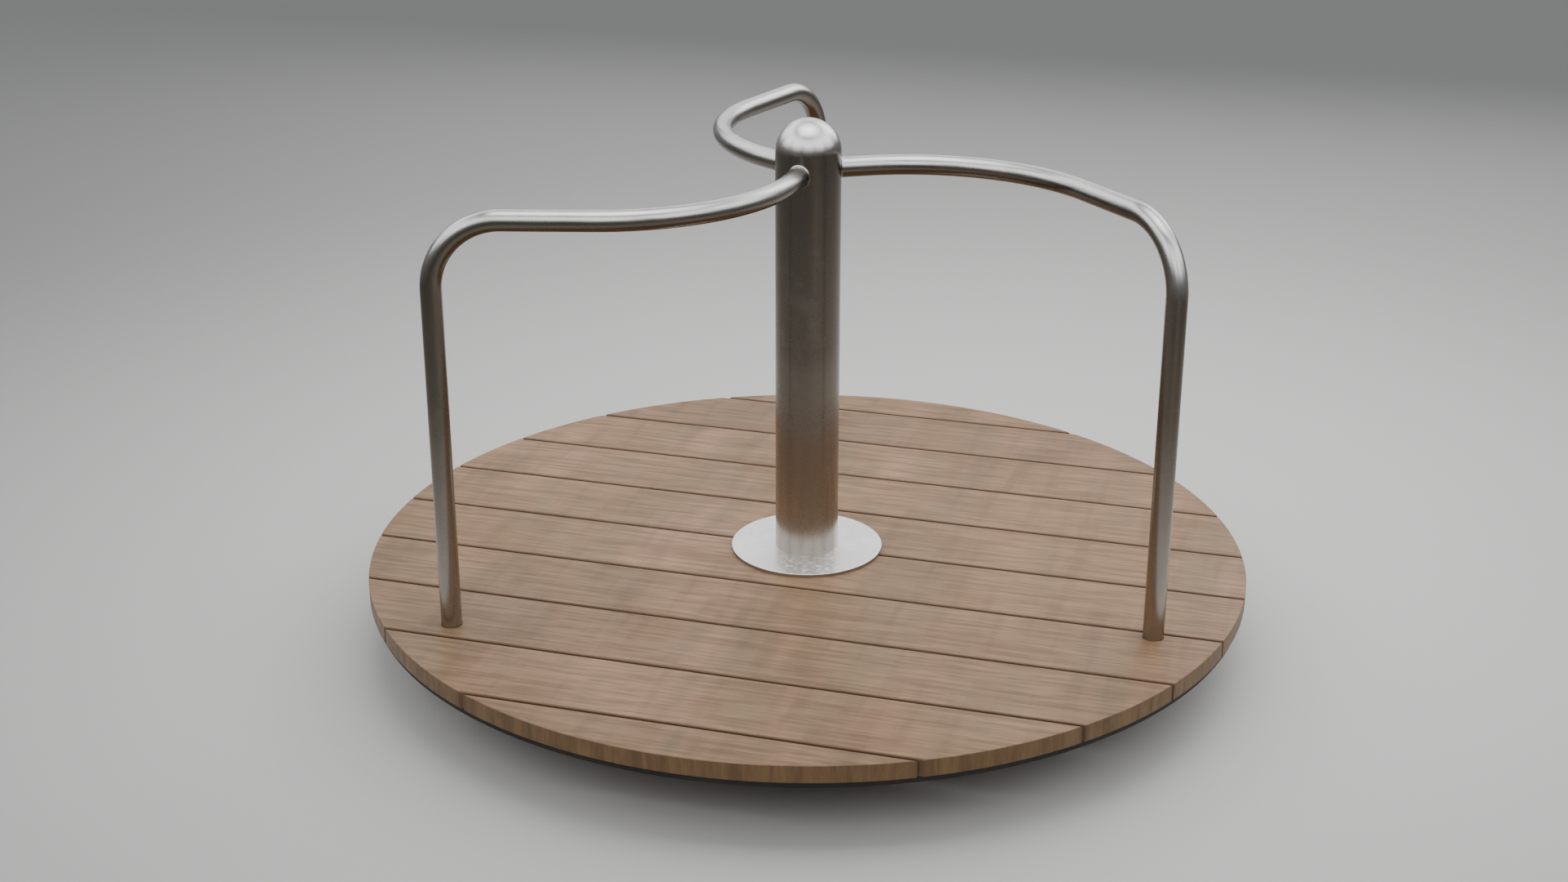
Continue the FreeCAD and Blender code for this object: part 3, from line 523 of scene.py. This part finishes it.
def seal_rubber(name):
    soft = Surface(name)
    tree = soft.tree
    bloom = soft.noise(90.0, 4.0, 0.6)
    tone = blended(tree, bloom, (0.012, 0.012, 0.012), (0.035, 0.034, 0.033))
    soft.set(Base_Color=tone, Roughness=bloom * 0.2 + 0.55,
             Normal=soft.bump(bloom, 0.15, 0.1 * MM))
    return soft.material


FINISHES = {}


def finish(name):
    """A material by its name; all of them are made when the first is asked for."""
    if not FINISHES:
        metals = bpy.context.scene.roundabout_metals
        made = (
            timber(),
            galvanised("galvanised_steel", metals.column_steel, roughness=0.27, spangle=0.02,
                       speckle=0.03),
            galvanised("flange_steel", metals.flange_steel, roughness=0.30, spangle=0.16,
                       speckle=0.32, grains=130.0),
            galvanised("rail_steel", metals.rail_steel, roughness=0.27, spangle=0.015,
                       speckle=0.03),
            galvanised("base_steel", metals.base_steel, roughness=0.42, spangle=0.16,
                       speckle=0.08),
            powder_coat("black_steel", metals.paint, roughness=0.56),
            powder_coat("frame_steel", metals.frame_paint, roughness=0.38),
            turned_steel("shaft_steel", metals.shaft_steel, roughness=0.26),
            turned_steel("bearing_steel", metals.bearing_steel, roughness=0.10),
            zinc("zinc_fastener"),
            weld_metal("weld_metal"),
            brass("cage_brass"),
            seal_rubber("seal_rubber"),
        )
        FINISHES.update({material["finish"]: material for material in made})
    return FINISHES[name]


# ---- mesh helpers ----

def add_piece(mesh, body, slot, *replaced, material=None, smooth_below=None):
    """Link a finished mesh as a piece, smooth where its faces meet at less than an angle."""
    piece = bpy.data.objects.new(mesh.name, mesh)
    bpy.context.scene.collection.objects.link(piece)
    if smooth_below is not None:
        mesh.shade_smooth()
        mesh.set_sharp_from_angle(angle=math.radians(smooth_below))
    if material is not None:
        mesh.materials.clear()
        mesh.materials.append(finish(material))
    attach(piece, body)
    if replaced:
        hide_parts(*replaced)


def lathe(name, profile, steps):
    """Turn (radius, height) points about the spin axis into a closed mesh."""
    shape = bmesh.new()
    rings = []
    for across, up in profile:
        if across == 0:
            rings.append([shape.verts.new((0, 0, up))] * steps)
            continue
        turns = [2 * math.pi * step / steps for step in range(steps)]
        rings.append([shape.verts.new((across * math.cos(turn), across * math.sin(turn), up))
                      for turn in turns])
    join_rows(shape, rings, closed=profile[0][0] > 0 and profile[-1][0] > 0)
    return plain_mesh(name, shape)


def join_rows(shape, rows, closed=True):
    """Faces from each row of vertices to the next; every row is a loop."""
    pairs = list(zip(rows, rows[1:]))
    if closed:
        pairs.append((rows[-1], rows[0]))
    for near, far in pairs:
        for index in range(len(near)):
            following = (index + 1) % len(near)
            corners = [near[index], near[following], far[following], far[index]]
            shape.faces.new(list(dict.fromkeys(corners)))


def plain_mesh(name, shape):
    """Turn the faces of a bmesh outwards and keep it as a mesh."""
    bmesh.ops.recalc_face_normals(shape, faces=shape.faces)
    mesh = bpy.data.meshes.new(name)
    shape.to_mesh(mesh)
    shape.free()
    return mesh


def rounded(centre, bend, start, end, steps):
    """Points of an arc from one angle to another, in degrees."""
    turns = [math.radians(start + (end - start) * step / steps) for step in range(steps + 1)]
    return [(centre[0] + bend * math.cos(turn), centre[1] + bend * math.sin(turn))
            for turn in turns]


def polyline(name, runs):
    """A curve object with one straight-edged spline for each run of points."""
    curve = bpy.data.curves.new(name, "CURVE")
    curve.dimensions = "3D"
    for run in runs:
        spline = curve.splines.new("POLY")
        spline.points.add(len(run) - 1)
        for point, place in zip(spline.points, run):
            point.co = (*place, 1.0)
    return bpy.data.objects.new(name, curve)


# ---- Geometry Nodes ----

FLOAT, WHOLE, OBJECT = "Float", "Int", "Object"
GEOMETRY, MATERIAL = "Geometry", "Material"


def new_tree(name, sockets):
    """A Geometry Nodes tree with named inputs, which come back by name as fields."""
    tree = bpy.data.node_groups.new(name, "GeometryNodeTree")
    for label, kind in sockets.items():
        tree.interface.new_socket(name=label, in_out="INPUT", socket_type=f"NodeSocket{kind}")
    tree.interface.new_socket(name="Geometry", in_out="OUTPUT", socket_type="NodeSocketGeometry")
    entry = tree.nodes.new("NodeGroupInput")
    return tree, {label: Field(tree, entry.outputs[label]) for label in sockets}


def close_tree(tree, geometry, material):
    """End a tree with real geometry and its material."""
    real = add(tree, "GeometryNodeRealizeInstances", {"Geometry": geometry})
    finished = add(tree, "GeometryNodeSetMaterial", {"Geometry": real, "Material": material})
    leave = tree.nodes.new("NodeGroupOutput")
    plug(tree, finished, leave.inputs["Geometry"])


def grown(name, tree, values, host=None):
    """Run a tree and return its result as a plain mesh; the host goes with its modifier."""
    host = host or bpy.data.objects.new(f"{name}_host", bpy.data.meshes.new(f"{name}_host"))
    bpy.context.scene.collection.objects.link(host)
    modifier = host.modifiers.new("Maker", "NODES")
    modifier.node_group = tree
    for item in tree.interface.items_tree:
        if item.in_out == "INPUT" and item.name in values:
            modifier[item.identifier] = values[item.name]
    host.update_tag()
    depsgraph = bpy.context.evaluated_depsgraph_get()
    mesh = bpy.data.meshes.new_from_object(host.evaluated_get(depsgraph), depsgraph=depsgraph)
    mesh.name = name
    bpy.data.objects.remove(host)
    return mesh


def deck_tree():
    """Round deck sawn into boards: rounded planks, cut by the disc and drilled for the posts."""
    tree, given = new_tree("Round Deck", {
        "Radius": FLOAT, "Foot": FLOAT, "Top": FLOAT, "Pitch": FLOAT, "Gap": FLOAT, "Turn": FLOAT,
        "Arris": FLOAT, "End Arris": FLOAT, "Boards": WHOLE, "Column Hole": FLOAT,
        "Leg Hole": FLOAT, "Leg Circle": FLOAT, "Leg Azimuth": FLOAT, "Legs": WHOLE,
        "Timber": MATERIAL,
    })
    thick = given["Top"] - given["Foot"]
    centre_z = (given["Top"] + given["Foot"]) / 2.0
    arris_steps = 5
    disc_sides = 360
    column_sides = 96
    plank_reach = 1.1
    below = 1 * MM

    # plank: a box whose first and last few rows of vertices follow a quarter circle
    rows = 2 * arris_steps + 2
    plank = add(tree, "GeometryNodeMeshCube", {
        "Size": (2, 2, 1), "Vertices X": 2, "Vertices Y": rows + 1, "Vertices Z": 2},
        output="Mesh")
    x, y, z = parts_of(tree, add(tree, "GeometryNodeInputPosition"))
    row = (y + 1.0) * (rows / 2)
    from_edge = row.math("MINIMUM", row * -1.0 + rows)
    sweep = (from_edge / arris_steps).math("MINIMUM", 1.0) * (math.pi / 2)
    side = (row - rows / 2).math("SIGN")
    half = (given["Pitch"] - given["Gap"]) / 2.0
    plank_y = side * (half - given["Arris"] + given["Arris"] * sweep.math("COSINE"))
    drop = given["Arris"] - given["Arris"] * sweep.math("SINE")
    shaped = joined(tree, x * given["Radius"] * plank_reach, plank_y,
                    given["Foot"] + (z + 0.5) * (thick - drop))
    plank = add(tree, "GeometryNodeSetPosition", {"Geometry": plank, "Position": shaped})

    # one plank for each board, side by side
    number = add(tree, "GeometryNodeInputIndex")
    shift = (number - given["Boards"] / 2.0 + 0.5) * given["Pitch"]
    seats = add(tree, "GeometryNodePoints", {
        "Count": given["Boards"], "Position": joined(tree, y=shift)})
    planks = stood_on(tree, seats, plank)

    # disc with a fine chamfer round its top edge
    disc = add(tree, "GeometryNodeMeshCylinder", {
        "Vertices": disc_sides, "Side Segments": 2, "Radius": given["Radius"], "Depth": 2.0},
        output="Mesh")
    upper = ramped(tree, z, 0.0, 1.0)
    shrink = upper * (given["End Arris"] / given["Radius"]) * -1.0 + 1.0
    lower = ramped(tree, z, -1.0, 0.0)
    disc_z = given["Foot"] - below + lower * (thick - given["End Arris"] + below)
    disc_at = joined(tree, x * shrink, y * shrink, disc_z + upper * given["End Arris"])
    disc = add(tree, "GeometryNodeSetPosition", {"Geometry": disc, "Position": disc_at})
    boards = boolean(tree, "INTERSECT", planks, disc)

    # holes for the column and the legs
    column = add(tree, "GeometryNodeMeshCylinder", {
        "Vertices": column_sides, "Radius": given["Column Hole"], "Depth": thick * 3.0},
        output="Mesh")
    column = add(tree, "GeometryNodeTransform", {
        "Geometry": column, "Translation": joined(tree, z=centre_z)})
    azimuth = number / given["Legs"] * (2 * math.pi) + given["Leg Azimuth"] - given["Turn"]
    leg_at = joined(tree, azimuth.math("COSINE") * given["Leg Circle"],
                    azimuth.math("SINE") * given["Leg Circle"], centre_z)
    legs = add(tree, "GeometryNodePoints", {"Count": given["Legs"], "Position": leg_at})
    leg_bar = add(tree, "GeometryNodeMeshCylinder", {
        "Vertices": TUBE_SIDES, "Radius": given["Leg Hole"], "Depth": thick * 3.0}, output="Mesh")
    leg_bars = stood_on(tree, legs, leg_bar)
    boards = boolean(tree, "DIFFERENCE", boards, column, leg_bars)
    laid = add(tree, "GeometryNodeTransform", {
        "Geometry": boards, "Rotation": joined(tree, z=given["Turn"])})
    close_tree(tree, laid, given["Timber"])
    return tree


def stood_on(tree, points, mesh):
    """The mesh once on every point."""
    placed = add(tree, "GeometryNodeInstanceOnPoints", {"Points": points, "Instance": mesh})
    return add(tree, "GeometryNodeRealizeInstances", {"Geometry": placed})


def boolean(tree, operation, *meshes):
    """Intersect meshes, or take the later ones from the first."""
    made = tree.nodes.new("GeometryNodeMeshBoolean")
    made.operation = operation
    made.solver = "EXACT"
    first, others = made.inputs[:2]
    for index, mesh in enumerate(meshes):
        plug(tree, mesh, first if index == 0 and operation == "DIFFERENCE" else others)
    return Field(tree, made.outputs["Mesh"])


def tube_tree():
    """A round tube along the host's curve."""
    tree, given = new_tree("Bent Tube", {
        "Geometry": GEOMETRY, "Tube Radius": FLOAT, "Sides": WHOLE, "Steel": MATERIAL})
    section = add(tree, "GeometryNodeCurvePrimitiveCircle", {
        "Resolution": given["Sides"], "Radius": given["Tube Radius"]})
    tube = add(tree, "GeometryNodeCurveToMesh", {
        "Curve": given["Geometry"], "Profile Curve": section, "Fill Caps": True})
    close_tree(tree, tube, given["Steel"])
    return tree


def bead_tree():
    """Overlapping weld ripples along the host's curves."""
    flatness = 0.55
    tree, given = new_tree("Weld Bead", {
        "Geometry": GEOMETRY, "Width": FLOAT, "Step": FLOAT, "Metal": MATERIAL})
    path = add(tree, "GeometryNodeCurveToPoints", {
        "Curve": given["Geometry"], "Length": given["Step"]}, output="Points", mode="LENGTH")
    turned = Field(tree, path.socket.node.outputs["Rotation"])
    drop = add(tree, "GeometryNodeMeshUVSphere", {
        "Segments": 8, "Rings": 5, "Radius": given["Width"] / 2.0}, output="Mesh")
    thickness = add(tree, "FunctionNodeRandomValue", {"Min": 0.85, "Max": 1.0, "Seed": 4},
                    output="Value", data_type="FLOAT")
    beads = add(tree, "GeometryNodeInstanceOnPoints", {
        "Points": path, "Instance": drop, "Rotation": turned,
        "Scale": joined(tree, thickness, thickness, flatness)})
    close_tree(tree, beads, given["Metal"])
    return tree


def scatter_tree():
    """The fastener object stood on every vertex of the host."""
    tree, given = new_tree("Fasteners", {
        "Geometry": GEOMETRY, "Fastener": OBJECT, "Plating": MATERIAL})
    single = add(tree, "GeometryNodeObjectInfo", {"Object": given["Fastener"]}, output="Geometry")
    turn = add(tree, "FunctionNodeRandomValue", {"Min": 0.0, "Max": 2 * math.pi, "Seed": 7},
               output="Value", data_type="FLOAT")
    placed = add(tree, "GeometryNodeInstanceOnPoints", {
        "Points": given["Geometry"], "Instance": single, "Rotation": joined(tree, z=turn)})
    close_tree(tree, placed, given["Plating"])
    return tree


# ---- pieces ----

class DeckBoards(bpy.types.Operator):
    """Lay the round timber deck"""
    bl_idname = "roundabout.deck_boards"
    bl_label = "Deck boards"

    def execute(self, context):
        deck = context.scene.roundabout_deck
        rails = context.scene.roundabout_rails
        mesh = grown("deck_boards", deck_tree(), {
            "Radius": DECK_RADIUS, "Foot": foot(DECK_BOARDS[0]), "Top": top(DECK_BOARDS[0]),
            "Pitch": deck.board_pitch, "Gap": deck.board_gap, "Turn": deck.board_turn,
            "Arris": deck.arris, "End Arris": deck.end_arris, "Boards": len(DECK_BOARDS),
            "Column Hole": COLUMN_RADIUS + deck.column_gap,
            "Leg Hole": rails.tube_diameter / 2 + deck.leg_gap,
            "Leg Circle": LEG_CIRCLE, "Leg Azimuth": LEG_AZIMUTHS[0], "Legs": len(SOCKETS),
            "Timber": finish("deck_timber"),
        })
        add_piece(mesh, PLATFORM, "deck_timber", *DECK_BOARDS)
        return {"FINISHED"}


def direction(turn):
    return Vector((math.cos(turn), math.sin(turn)))


def left_of(way):
    return Vector((-way.y, way.x))


def cross(first, second):
    return first.x * second.y - first.y * second.x


def rail_points(rails, azimuth, leg_foot, run_height):
    """Points of a handrail's centre line, closer together round its two bends.

    It leaves the column straight outwards, sweeps round in a level arc, runs straight towards
    the leg and bends down into it.
    """
    sweep_steps = 56
    bend_steps = 28
    leaving = direction(azimuth + rails.leaving)
    arriving = direction(azimuth + rails.arriving)
    leg = direction(azimuth) * LEG_CIRCLE
    sweep_start = leaving * rails.lead
    reach = cross(leg - sweep_start, arriving)
    reach /= cross(left_of(arriving) - left_of(leaving), arriving)
    centre = sweep_start - left_of(leaving) * reach
    swept = rails.arriving - rails.leaving
    points = [leaving * (COLUMN_RADIUS / 2)]
    for step in range(sweep_steps + 1):
        way = direction(azimuth + rails.leaving + swept * step / sweep_steps)
        points.append(centre + left_of(way) * reach)
    level = [(point.x, point.y, run_height) for point in points]
    bend_foot = run_height - rails.bend_radius
    bend_start = leg - arriving * rails.bend_radius
    falling = []
    for step in range(bend_steps + 1):
        turn = math.pi / 2 * step / bend_steps
        point = bend_start + arriving * (rails.bend_radius * math.sin(turn))
        falling.append((point.x, point.y, bend_foot + rails.bend_radius * math.cos(turn)))
    return level + falling + [(leg.x, leg.y, leg_foot)]


class Handrails(bpy.types.Operator):
    """Bend the three handrail tubes"""
    bl_idname = "roundabout.handrails"
    bl_label = "Handrails"

    def execute(self, context):
        rails = context.scene.roundabout_rails
        tree = tube_tree()
        for node, azimuth in zip(HANDRAILS, LEG_AZIMUTHS):
            height = top(node) - rails.tube_diameter / 2
            line = polyline(f"{node}_line", [rail_points(rails, azimuth, foot(node), height)])
            mesh = grown(f"{node}_tube", tree, {
                "Tube Radius": rails.tube_diameter / 2, "Sides": TUBE_SIDES,
                "Steel": finish("rail_steel")}, line)
            add_piece(mesh, PLATFORM, "rail_steel", node, smooth_below=40)
        return {"FINISHED"}


class RailWelds(bpy.types.Operator):
    """Run a rippled weld round each handrail where it meets the column"""
    bl_idname = "roundabout.rail_welds"
    bl_label = "Rail welds"

    def execute(self, context):
        rails = context.scene.roundabout_rails
        height = top(HANDRAILS[0]) - rails.tube_diameter / 2
        shape = bmesh.new()
        for azimuth in LEG_AZIMUTHS:
            weld_collar(shape, rails, azimuth + rails.leaving, height)
        add_piece(plain_mesh("rail_weld_collars", shape), PLATFORM, "rail_steel",
                  "handrail_welds", material="rail_steel", smooth_below=60)
        return {"FINISHED"}


def weld_collar(shape, rails, turn, height):
    """A hollow fillet from the column's surface to the rail's, with ripples round it."""
    steps = 144
    ripples = 36
    profile_steps = 6
    hollow = 0.27 * rails.weld
    ripple = 0.015 * rails.weld
    buried = 1 * MM
    tube = rails.tube_diameter / 2
    out = direction(turn).to_3d()
    side = left_of(direction(turn)).to_3d()
    centre = Vector((0, 0, height))
    rings = []
    for step in range(steps):
        around = 2 * math.pi * step / steps
        way = side * math.cos(around) + Vector((0, 0, 1)) * math.sin(around)

        def on_column(reach):
            return math.sqrt(COLUMN_RADIUS ** 2 - (reach * math.cos(around)) ** 2)

        wave = ripple * math.cos(around * ripples)
        wide = tube + rails.weld + wave
        column_toe = centre + out * on_column(wide) + way * wide
        rail_toe = centre + out * (on_column(tube) + rails.weld + wave) + way * tube
        root = centre + out * (on_column(tube) - buried) + way * (tube - buried)
        points = []
        for index in range(profile_steps + 1):
            part = index / profile_steps
            straight = column_toe.lerp(rail_toe, part)
            sag = (wave - hollow) * 4 * part * (1 - part)
            points.append(straight + (out + way).normalized() * sag)
        points.append(root)
        rings.append([shape.verts.new(point) for point in points])
    join_rows(shape, rings)


class Column(bpy.types.Operator):
    """Turn the column tube with its dome"""
    bl_idname = "roundabout.column"
    bl_label = "Column"

    def execute(self, context):
        wall = context.scene.roundabout_column.wall
        bore = COLUMN_RADIUS - wall
        dome_foot = foot("column_dome")
        low = foot("column_tube")
        inside = rounded((0, dome_foot), bore, 90, 0, 16)
        outside = rounded((0, dome_foot), COLUMN_RADIUS, 0, 90, 32)
        inside[0] = (0, inside[0][1])
        outside[-1] = (0, outside[-1][1])
        profile = inside + [(bore, low), (COLUMN_RADIUS, low)] + outside
        add_piece(lathe("column_post", profile, ROUND_STEPS), PLATFORM, "galvanised_steel",
                  "column_tube", "column_dome", material="galvanised_steel", smooth_below=40)
        return {"FINISHED"}


class CoverFlange(bpy.types.Operator):
    """Turn the cover flange at the foot of the column"""
    bl_idname = "roundabout.cover_flange"
    bl_label = "Cover flange"

    def execute(self, context):
        edge = context.scene.roundabout_column.flange_edge
        rim = radius("cover_flange")
        low = foot("cover_flange")
        high = top("cover_flange")
        edge_arc = rounded((rim - edge, high - edge), edge, 0, 90, 5)
        profile = [(COLUMN_RADIUS, low), (rim, low)] + edge_arc + [(COLUMN_RADIUS, high)]
        add_piece(lathe("flange_disc", profile, ROUND_STEPS), PLATFORM, "galvanised_steel",
                  "cover_flange", material="flange_steel", smooth_below=5)
        return {"FINISHED"}


def screw_feet():
    """Foot of each deck screw, from the loose parts of the model's own node, in their order."""
    shape = bmesh.new()
    shape.from_mesh(frame["nodes"]["deck_screws"].data)
    bmesh.ops.remove_doubles(shape, verts=shape.verts, dist=0.01 * MM)
    waiting = set(shape.verts)
    feet = []
    for first in shape.verts:
        if first not in waiting:
            continue
        waiting.remove(first)
        found = [first]
        for vertex in found:
            beside = {edge.other_vert(vertex) for edge in vertex.link_edges} & waiting
            waiting -= beside
            found += beside
        xs = [vertex.co.x for vertex in found]
        ys = [vertex.co.y for vertex in found]
        low = min(vertex.co.z for vertex in found)
        feet.append(((min(xs) + max(xs)) / 2, (min(ys) + max(ys)) / 2, low))
    shape.free()
    return feet


def screw_mesh(sizes):
    """A domed screw with a round recess, standing on its head."""
    sides = 12
    rim = sizes.head_diameter / 2
    shank = sizes.shank_diameter / 2
    high = sizes.head_height
    recess = sizes.recess_across / 2
    tip = high + sizes.shank_length
    depth = high * 0.55
    profile = [(0, depth), (recess, depth), (recess, 0), (rim * 0.72, 0), (rim * 0.94, high * 0.18),
               (rim, high * 0.45), (rim, high), (shank, high), (shank, tip - shank), (0, tip)]
    return lathe("deck_screw", profile, sides)


class DeckScrews(bpy.types.Operator):
    """Drive the deck screws up through the ring and the arms"""
    bl_idname = "roundabout.deck_screws"
    bl_label = "Deck screws"

    def execute(self, context):
        sizes = context.scene.roundabout_fasteners
        single = bpy.data.objects.new("screw_pattern", screw_mesh(sizes))
        places = bpy.data.meshes.new("screw_feet")
        places.from_pydata(screw_feet(), [], [])
        host = bpy.data.objects.new("screw_feet", places)
        mesh = grown("frame_screws", scatter_tree(), {
            "Fastener": single, "Plating": finish("zinc_fastener")}, host)
        bpy.data.objects.remove(single)
        add_piece(mesh, PLATFORM, "zinc_fastener", "deck_screws", smooth_below=40)
        return {"FINISHED"}


def circle_line(across, height):
    """A closed run of points round the spin axis."""
    steps = 96
    return [(across * math.cos(2 * math.pi * step / steps),
             across * math.sin(2 * math.pi * step / steps), height) for step in range(steps + 1)]


def beads(name, runs, body, slot, material):
    """Weld beads along runs of points, as one piece on one body."""
    sizes = bpy.context.scene.roundabout_fasteners
    tree = bpy.data.node_groups.get("Weld Bead") or bead_tree()
    mesh = grown(name, tree, {"Width": sizes.bead_width, "Step": sizes.bead_step,
                              "Metal": finish(material)}, polyline(f"{name}_lines", runs))
    add_piece(mesh, body, slot, smooth_below=70)


def gusset_runs(sizes):
    """Where the spindle and both sides of each gusset stand on the ground plate."""
    inset = sizes.bead_inset
    boss = radius("spindle")
    height = top("ground_plate") + inset
    runs = [circle_line(boss + inset, height)]
    for node in GUSSETS:
        low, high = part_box(node)
        way = middle(node).xy.normalized()
        toe = max(abs(low[0]), abs(high[0]), abs(low[1]), abs(high[1]))
        half = min(high[0] - low[0], high[1] - low[1]) / 2
        for side in (-1, 1):
            offset = left_of(way) * side * (half + inset)
            runs.append([(*(way * (boss + sizes.spindle_end) + offset), height),
                         (*(way * (toe - sizes.toe_end) + offset), height)])
    return runs


def arm_runs(sizes):
    """Where the top flange of each arm meets the inside of the rim ring."""
    inset = sizes.bead_inset
    height = foot(DECK_BOARDS[0]) - sizes.arm_flange - inset
    runs = []
    for number in range(len(ARMS)):
        way = direction(LEG_AZIMUTHS[0] + 2 * math.pi * number / len(ARMS))
        end = way * (LEG_CIRCLE + sizes.ring_reach - inset)
        for side in (-1, 1):
            across = left_of(way) * side
            runs.append([(*(end + across * (sizes.arm_web / 2 + inset)), height),
                         (*(end + across * (sizes.arm_width / 2)), height)])
    return runs


class FrameWelds(bpy.types.Operator):
    """Lay the weld beads of the ground plate and of the subframe"""
    bl_idname = "roundabout.frame_welds"
    bl_label = "Frame welds"

    def execute(self, context):
        sizes = context.scene.roundabout_fasteners
        beads("base_weld_beads", gusset_runs(sizes), BASE, "base_steel", "weld_metal")
        beads("frame_weld_beads", arm_runs(sizes), PLATFORM, "frame_steel", "frame_steel")
        return {"FINISHED"}


class ModelFinishes(bpy.types.Operator):
    """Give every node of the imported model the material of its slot"""
    bl_idname = "roundabout.model_finishes"
    bl_label = "Model finishes"

    def execute(self, context):
        slots = {part["node"]: part["material_slot"] for part in frame["record"]["subparts"]}
        for name, node in frame["nodes"].items():
            material = finish(slots[name])
            for slot in node.material_slots:
                slot.material = material
            if not node.material_slots:
                node.data.materials.append(material)
        return {"FINISHED"}


# ---- stage ----

def softbox(name, place, target, width, depth, watts, spread=math.pi, tint=(1.0, 1.0, 1.0)):
    """A large soft light that looks at a target and isn't seen itself."""
    lamp = bpy.data.lights.new(name, "AREA")
    lamp.shape = "RECTANGLE"
    lamp.size = width
    lamp.size_y = depth
    lamp.energy = watts
    lamp.spread = spread
    lamp.color = tint
    box = bpy.data.objects.new(name, lamp)
    box.location = place
    box.rotation_euler = (Vector(target) - Vector(place)).to_track_quat("-Z", "Y").to_euler()
    box.visible_camera = False
    bpy.context.scene.collection.objects.link(box)


def studio_sky(stage):
    """Bright soft light from above that falls off to dim surroundings near the floor."""
    world = bpy.data.worlds.new("studio_sky")
    world.use_nodes = True
    tree = world.node_tree
    dim_below = 0.22
    bright_above = 0.42
    way = add(tree, "ShaderNodeTexCoord", output="Generated")
    climb = ramped(tree, parts_of(tree, way)[2], dim_below, bright_above)
    tint = blended(tree, climb, stage.horizon, stage.sky)
    light = tree.nodes["Background"]
    plug(tree, tint, light.inputs["Color"])
    light.inputs["Strength"].default_value = stage.sky_strength
    return world


def floor_finish(tint):
    """Matt studio floor with the faintest mottling."""
    ground = Surface("studio_floor")
    tree = ground.tree
    cloud = ground.noise(0.8, 3.0)
    tone = blended(tree, cloud, [part * 0.97 for part in tint], tint)
    ground.set(Base_Color=tone, Roughness=0.9)
    return ground.material


def place_lights(stage):
    """Softboxes over the deck and behind the object, a ring of seven, and a warm one in front."""
    aim = (0, 0, 0.7)
    ring_radius = 2.9
    ring_height = 2.6
    ring_step = 45
    softbox("top_softbox", place=(0.6, 0.6, 2.8), target=(0.6, 0.6, 0), width=3.4, depth=3.2,
            watts=stage.top_light, spread=stage.wide_grid)
    softbox("back_softbox", place=(0.9, 3.4, 2.6), target=aim, width=5.4, depth=3.0,
            watts=stage.back_light)
    for step in range(-3, 4):
        azimuth = math.radians(ring_step * step - 90)
        place = (ring_radius * math.cos(azimuth), ring_radius * math.sin(azimuth), ring_height)
        softbox(f"ring_softbox_{step + 4}", place, aim, width=2.5, depth=2.7,
                watts=stage.ring_light, spread=stage.narrow_grid)
    softbox("kick_softbox", place=(1.3, -2.5, 1.7), target=(1.3, -2.5, 0), width=0.9, depth=1.6,
            watts=stage.kick_light, spread=stage.narrow_grid, tint=stage.warm)


class Stage(bpy.types.Operator):
    """Set up the floor, the lights, the surroundings and the camera"""
    bl_idname = "roundabout.stage"
    bl_label = "Stage"

    def execute(self, context):
        scene = context.scene
        stage = scene.roundabout_stage
        half = stage.floor_half
        sheet = bpy.data.meshes.new("studio_floor")
        sheet.from_pydata([(-half, -half, 0), (half, -half, 0), (half, half, 0), (-half, half, 0)],
                          [], [(0, 1, 2, 3)])
        sheet.materials.append(floor_finish(stage.floor))
        ground = bpy.data.objects.new("studio_floor", sheet)
        scene.collection.objects.link(ground)

        scene.world = studio_sky(stage)
        place_lights(stage)

        lens = bpy.data.cameras.new("studio_camera")
        lens.sensor_fit = "HORIZONTAL"
        lens.angle = stage.view_angle
        camera = bpy.data.objects.new("studio_camera", lens)
        camera.location = (0, -stage.distance, stage.height)
        camera.rotation_euler = (math.pi / 2 - stage.tilt, 0, stage.pan)
        scene.collection.objects.link(camera)
        scene.camera = camera
        return {"FINISHED"}


# ---- add-on ----

MAKERS = (Stage, ModelFinishes, DeckBoards, Column, CoverFlange, Handrails, RailWelds,
          DeckScrews, FrameWelds)


class RoundaboutPanel(bpy.types.Panel):
    """Makers and sizes of the roundabout"""
    bl_idname = "VIEW3D_PT_roundabout"
    bl_label = "Playground Roundabout"
    bl_space_type = "VIEW_3D"
    bl_region_type = "UI"
    bl_category = "Roundabout"

    def draw(self, context):
        layout = self.layout
        for maker in MAKERS:
            layout.operator(maker.bl_idname)
        for name, group in SETTINGS.items():
            box = layout.box()
            settings = getattr(context.scene, name)
            for setting in group.__annotations__:
                box.prop(settings, setting, text=setting.replace("_", " ").capitalize())


CLASSES = (*SETTINGS.values(), *MAKERS, RoundaboutPanel)


def register():
    for item in CLASSES:
        bpy.utils.register_class(item)
    for name, group in SETTINGS.items():
        setattr(bpy.types.Scene, name, PointerProperty(type=group))


def unregister():
    for name in SETTINGS:
        delattr(bpy.types.Scene, name)
    for item in reversed(CLASSES):
        bpy.utils.unregister_class(item)


def main():
    register()
    for maker in MAKERS:
        group, name = maker.bl_idname.split(".")
        getattr(getattr(bpy.ops, group), name)()


if __name__ == "__main__":
    main()
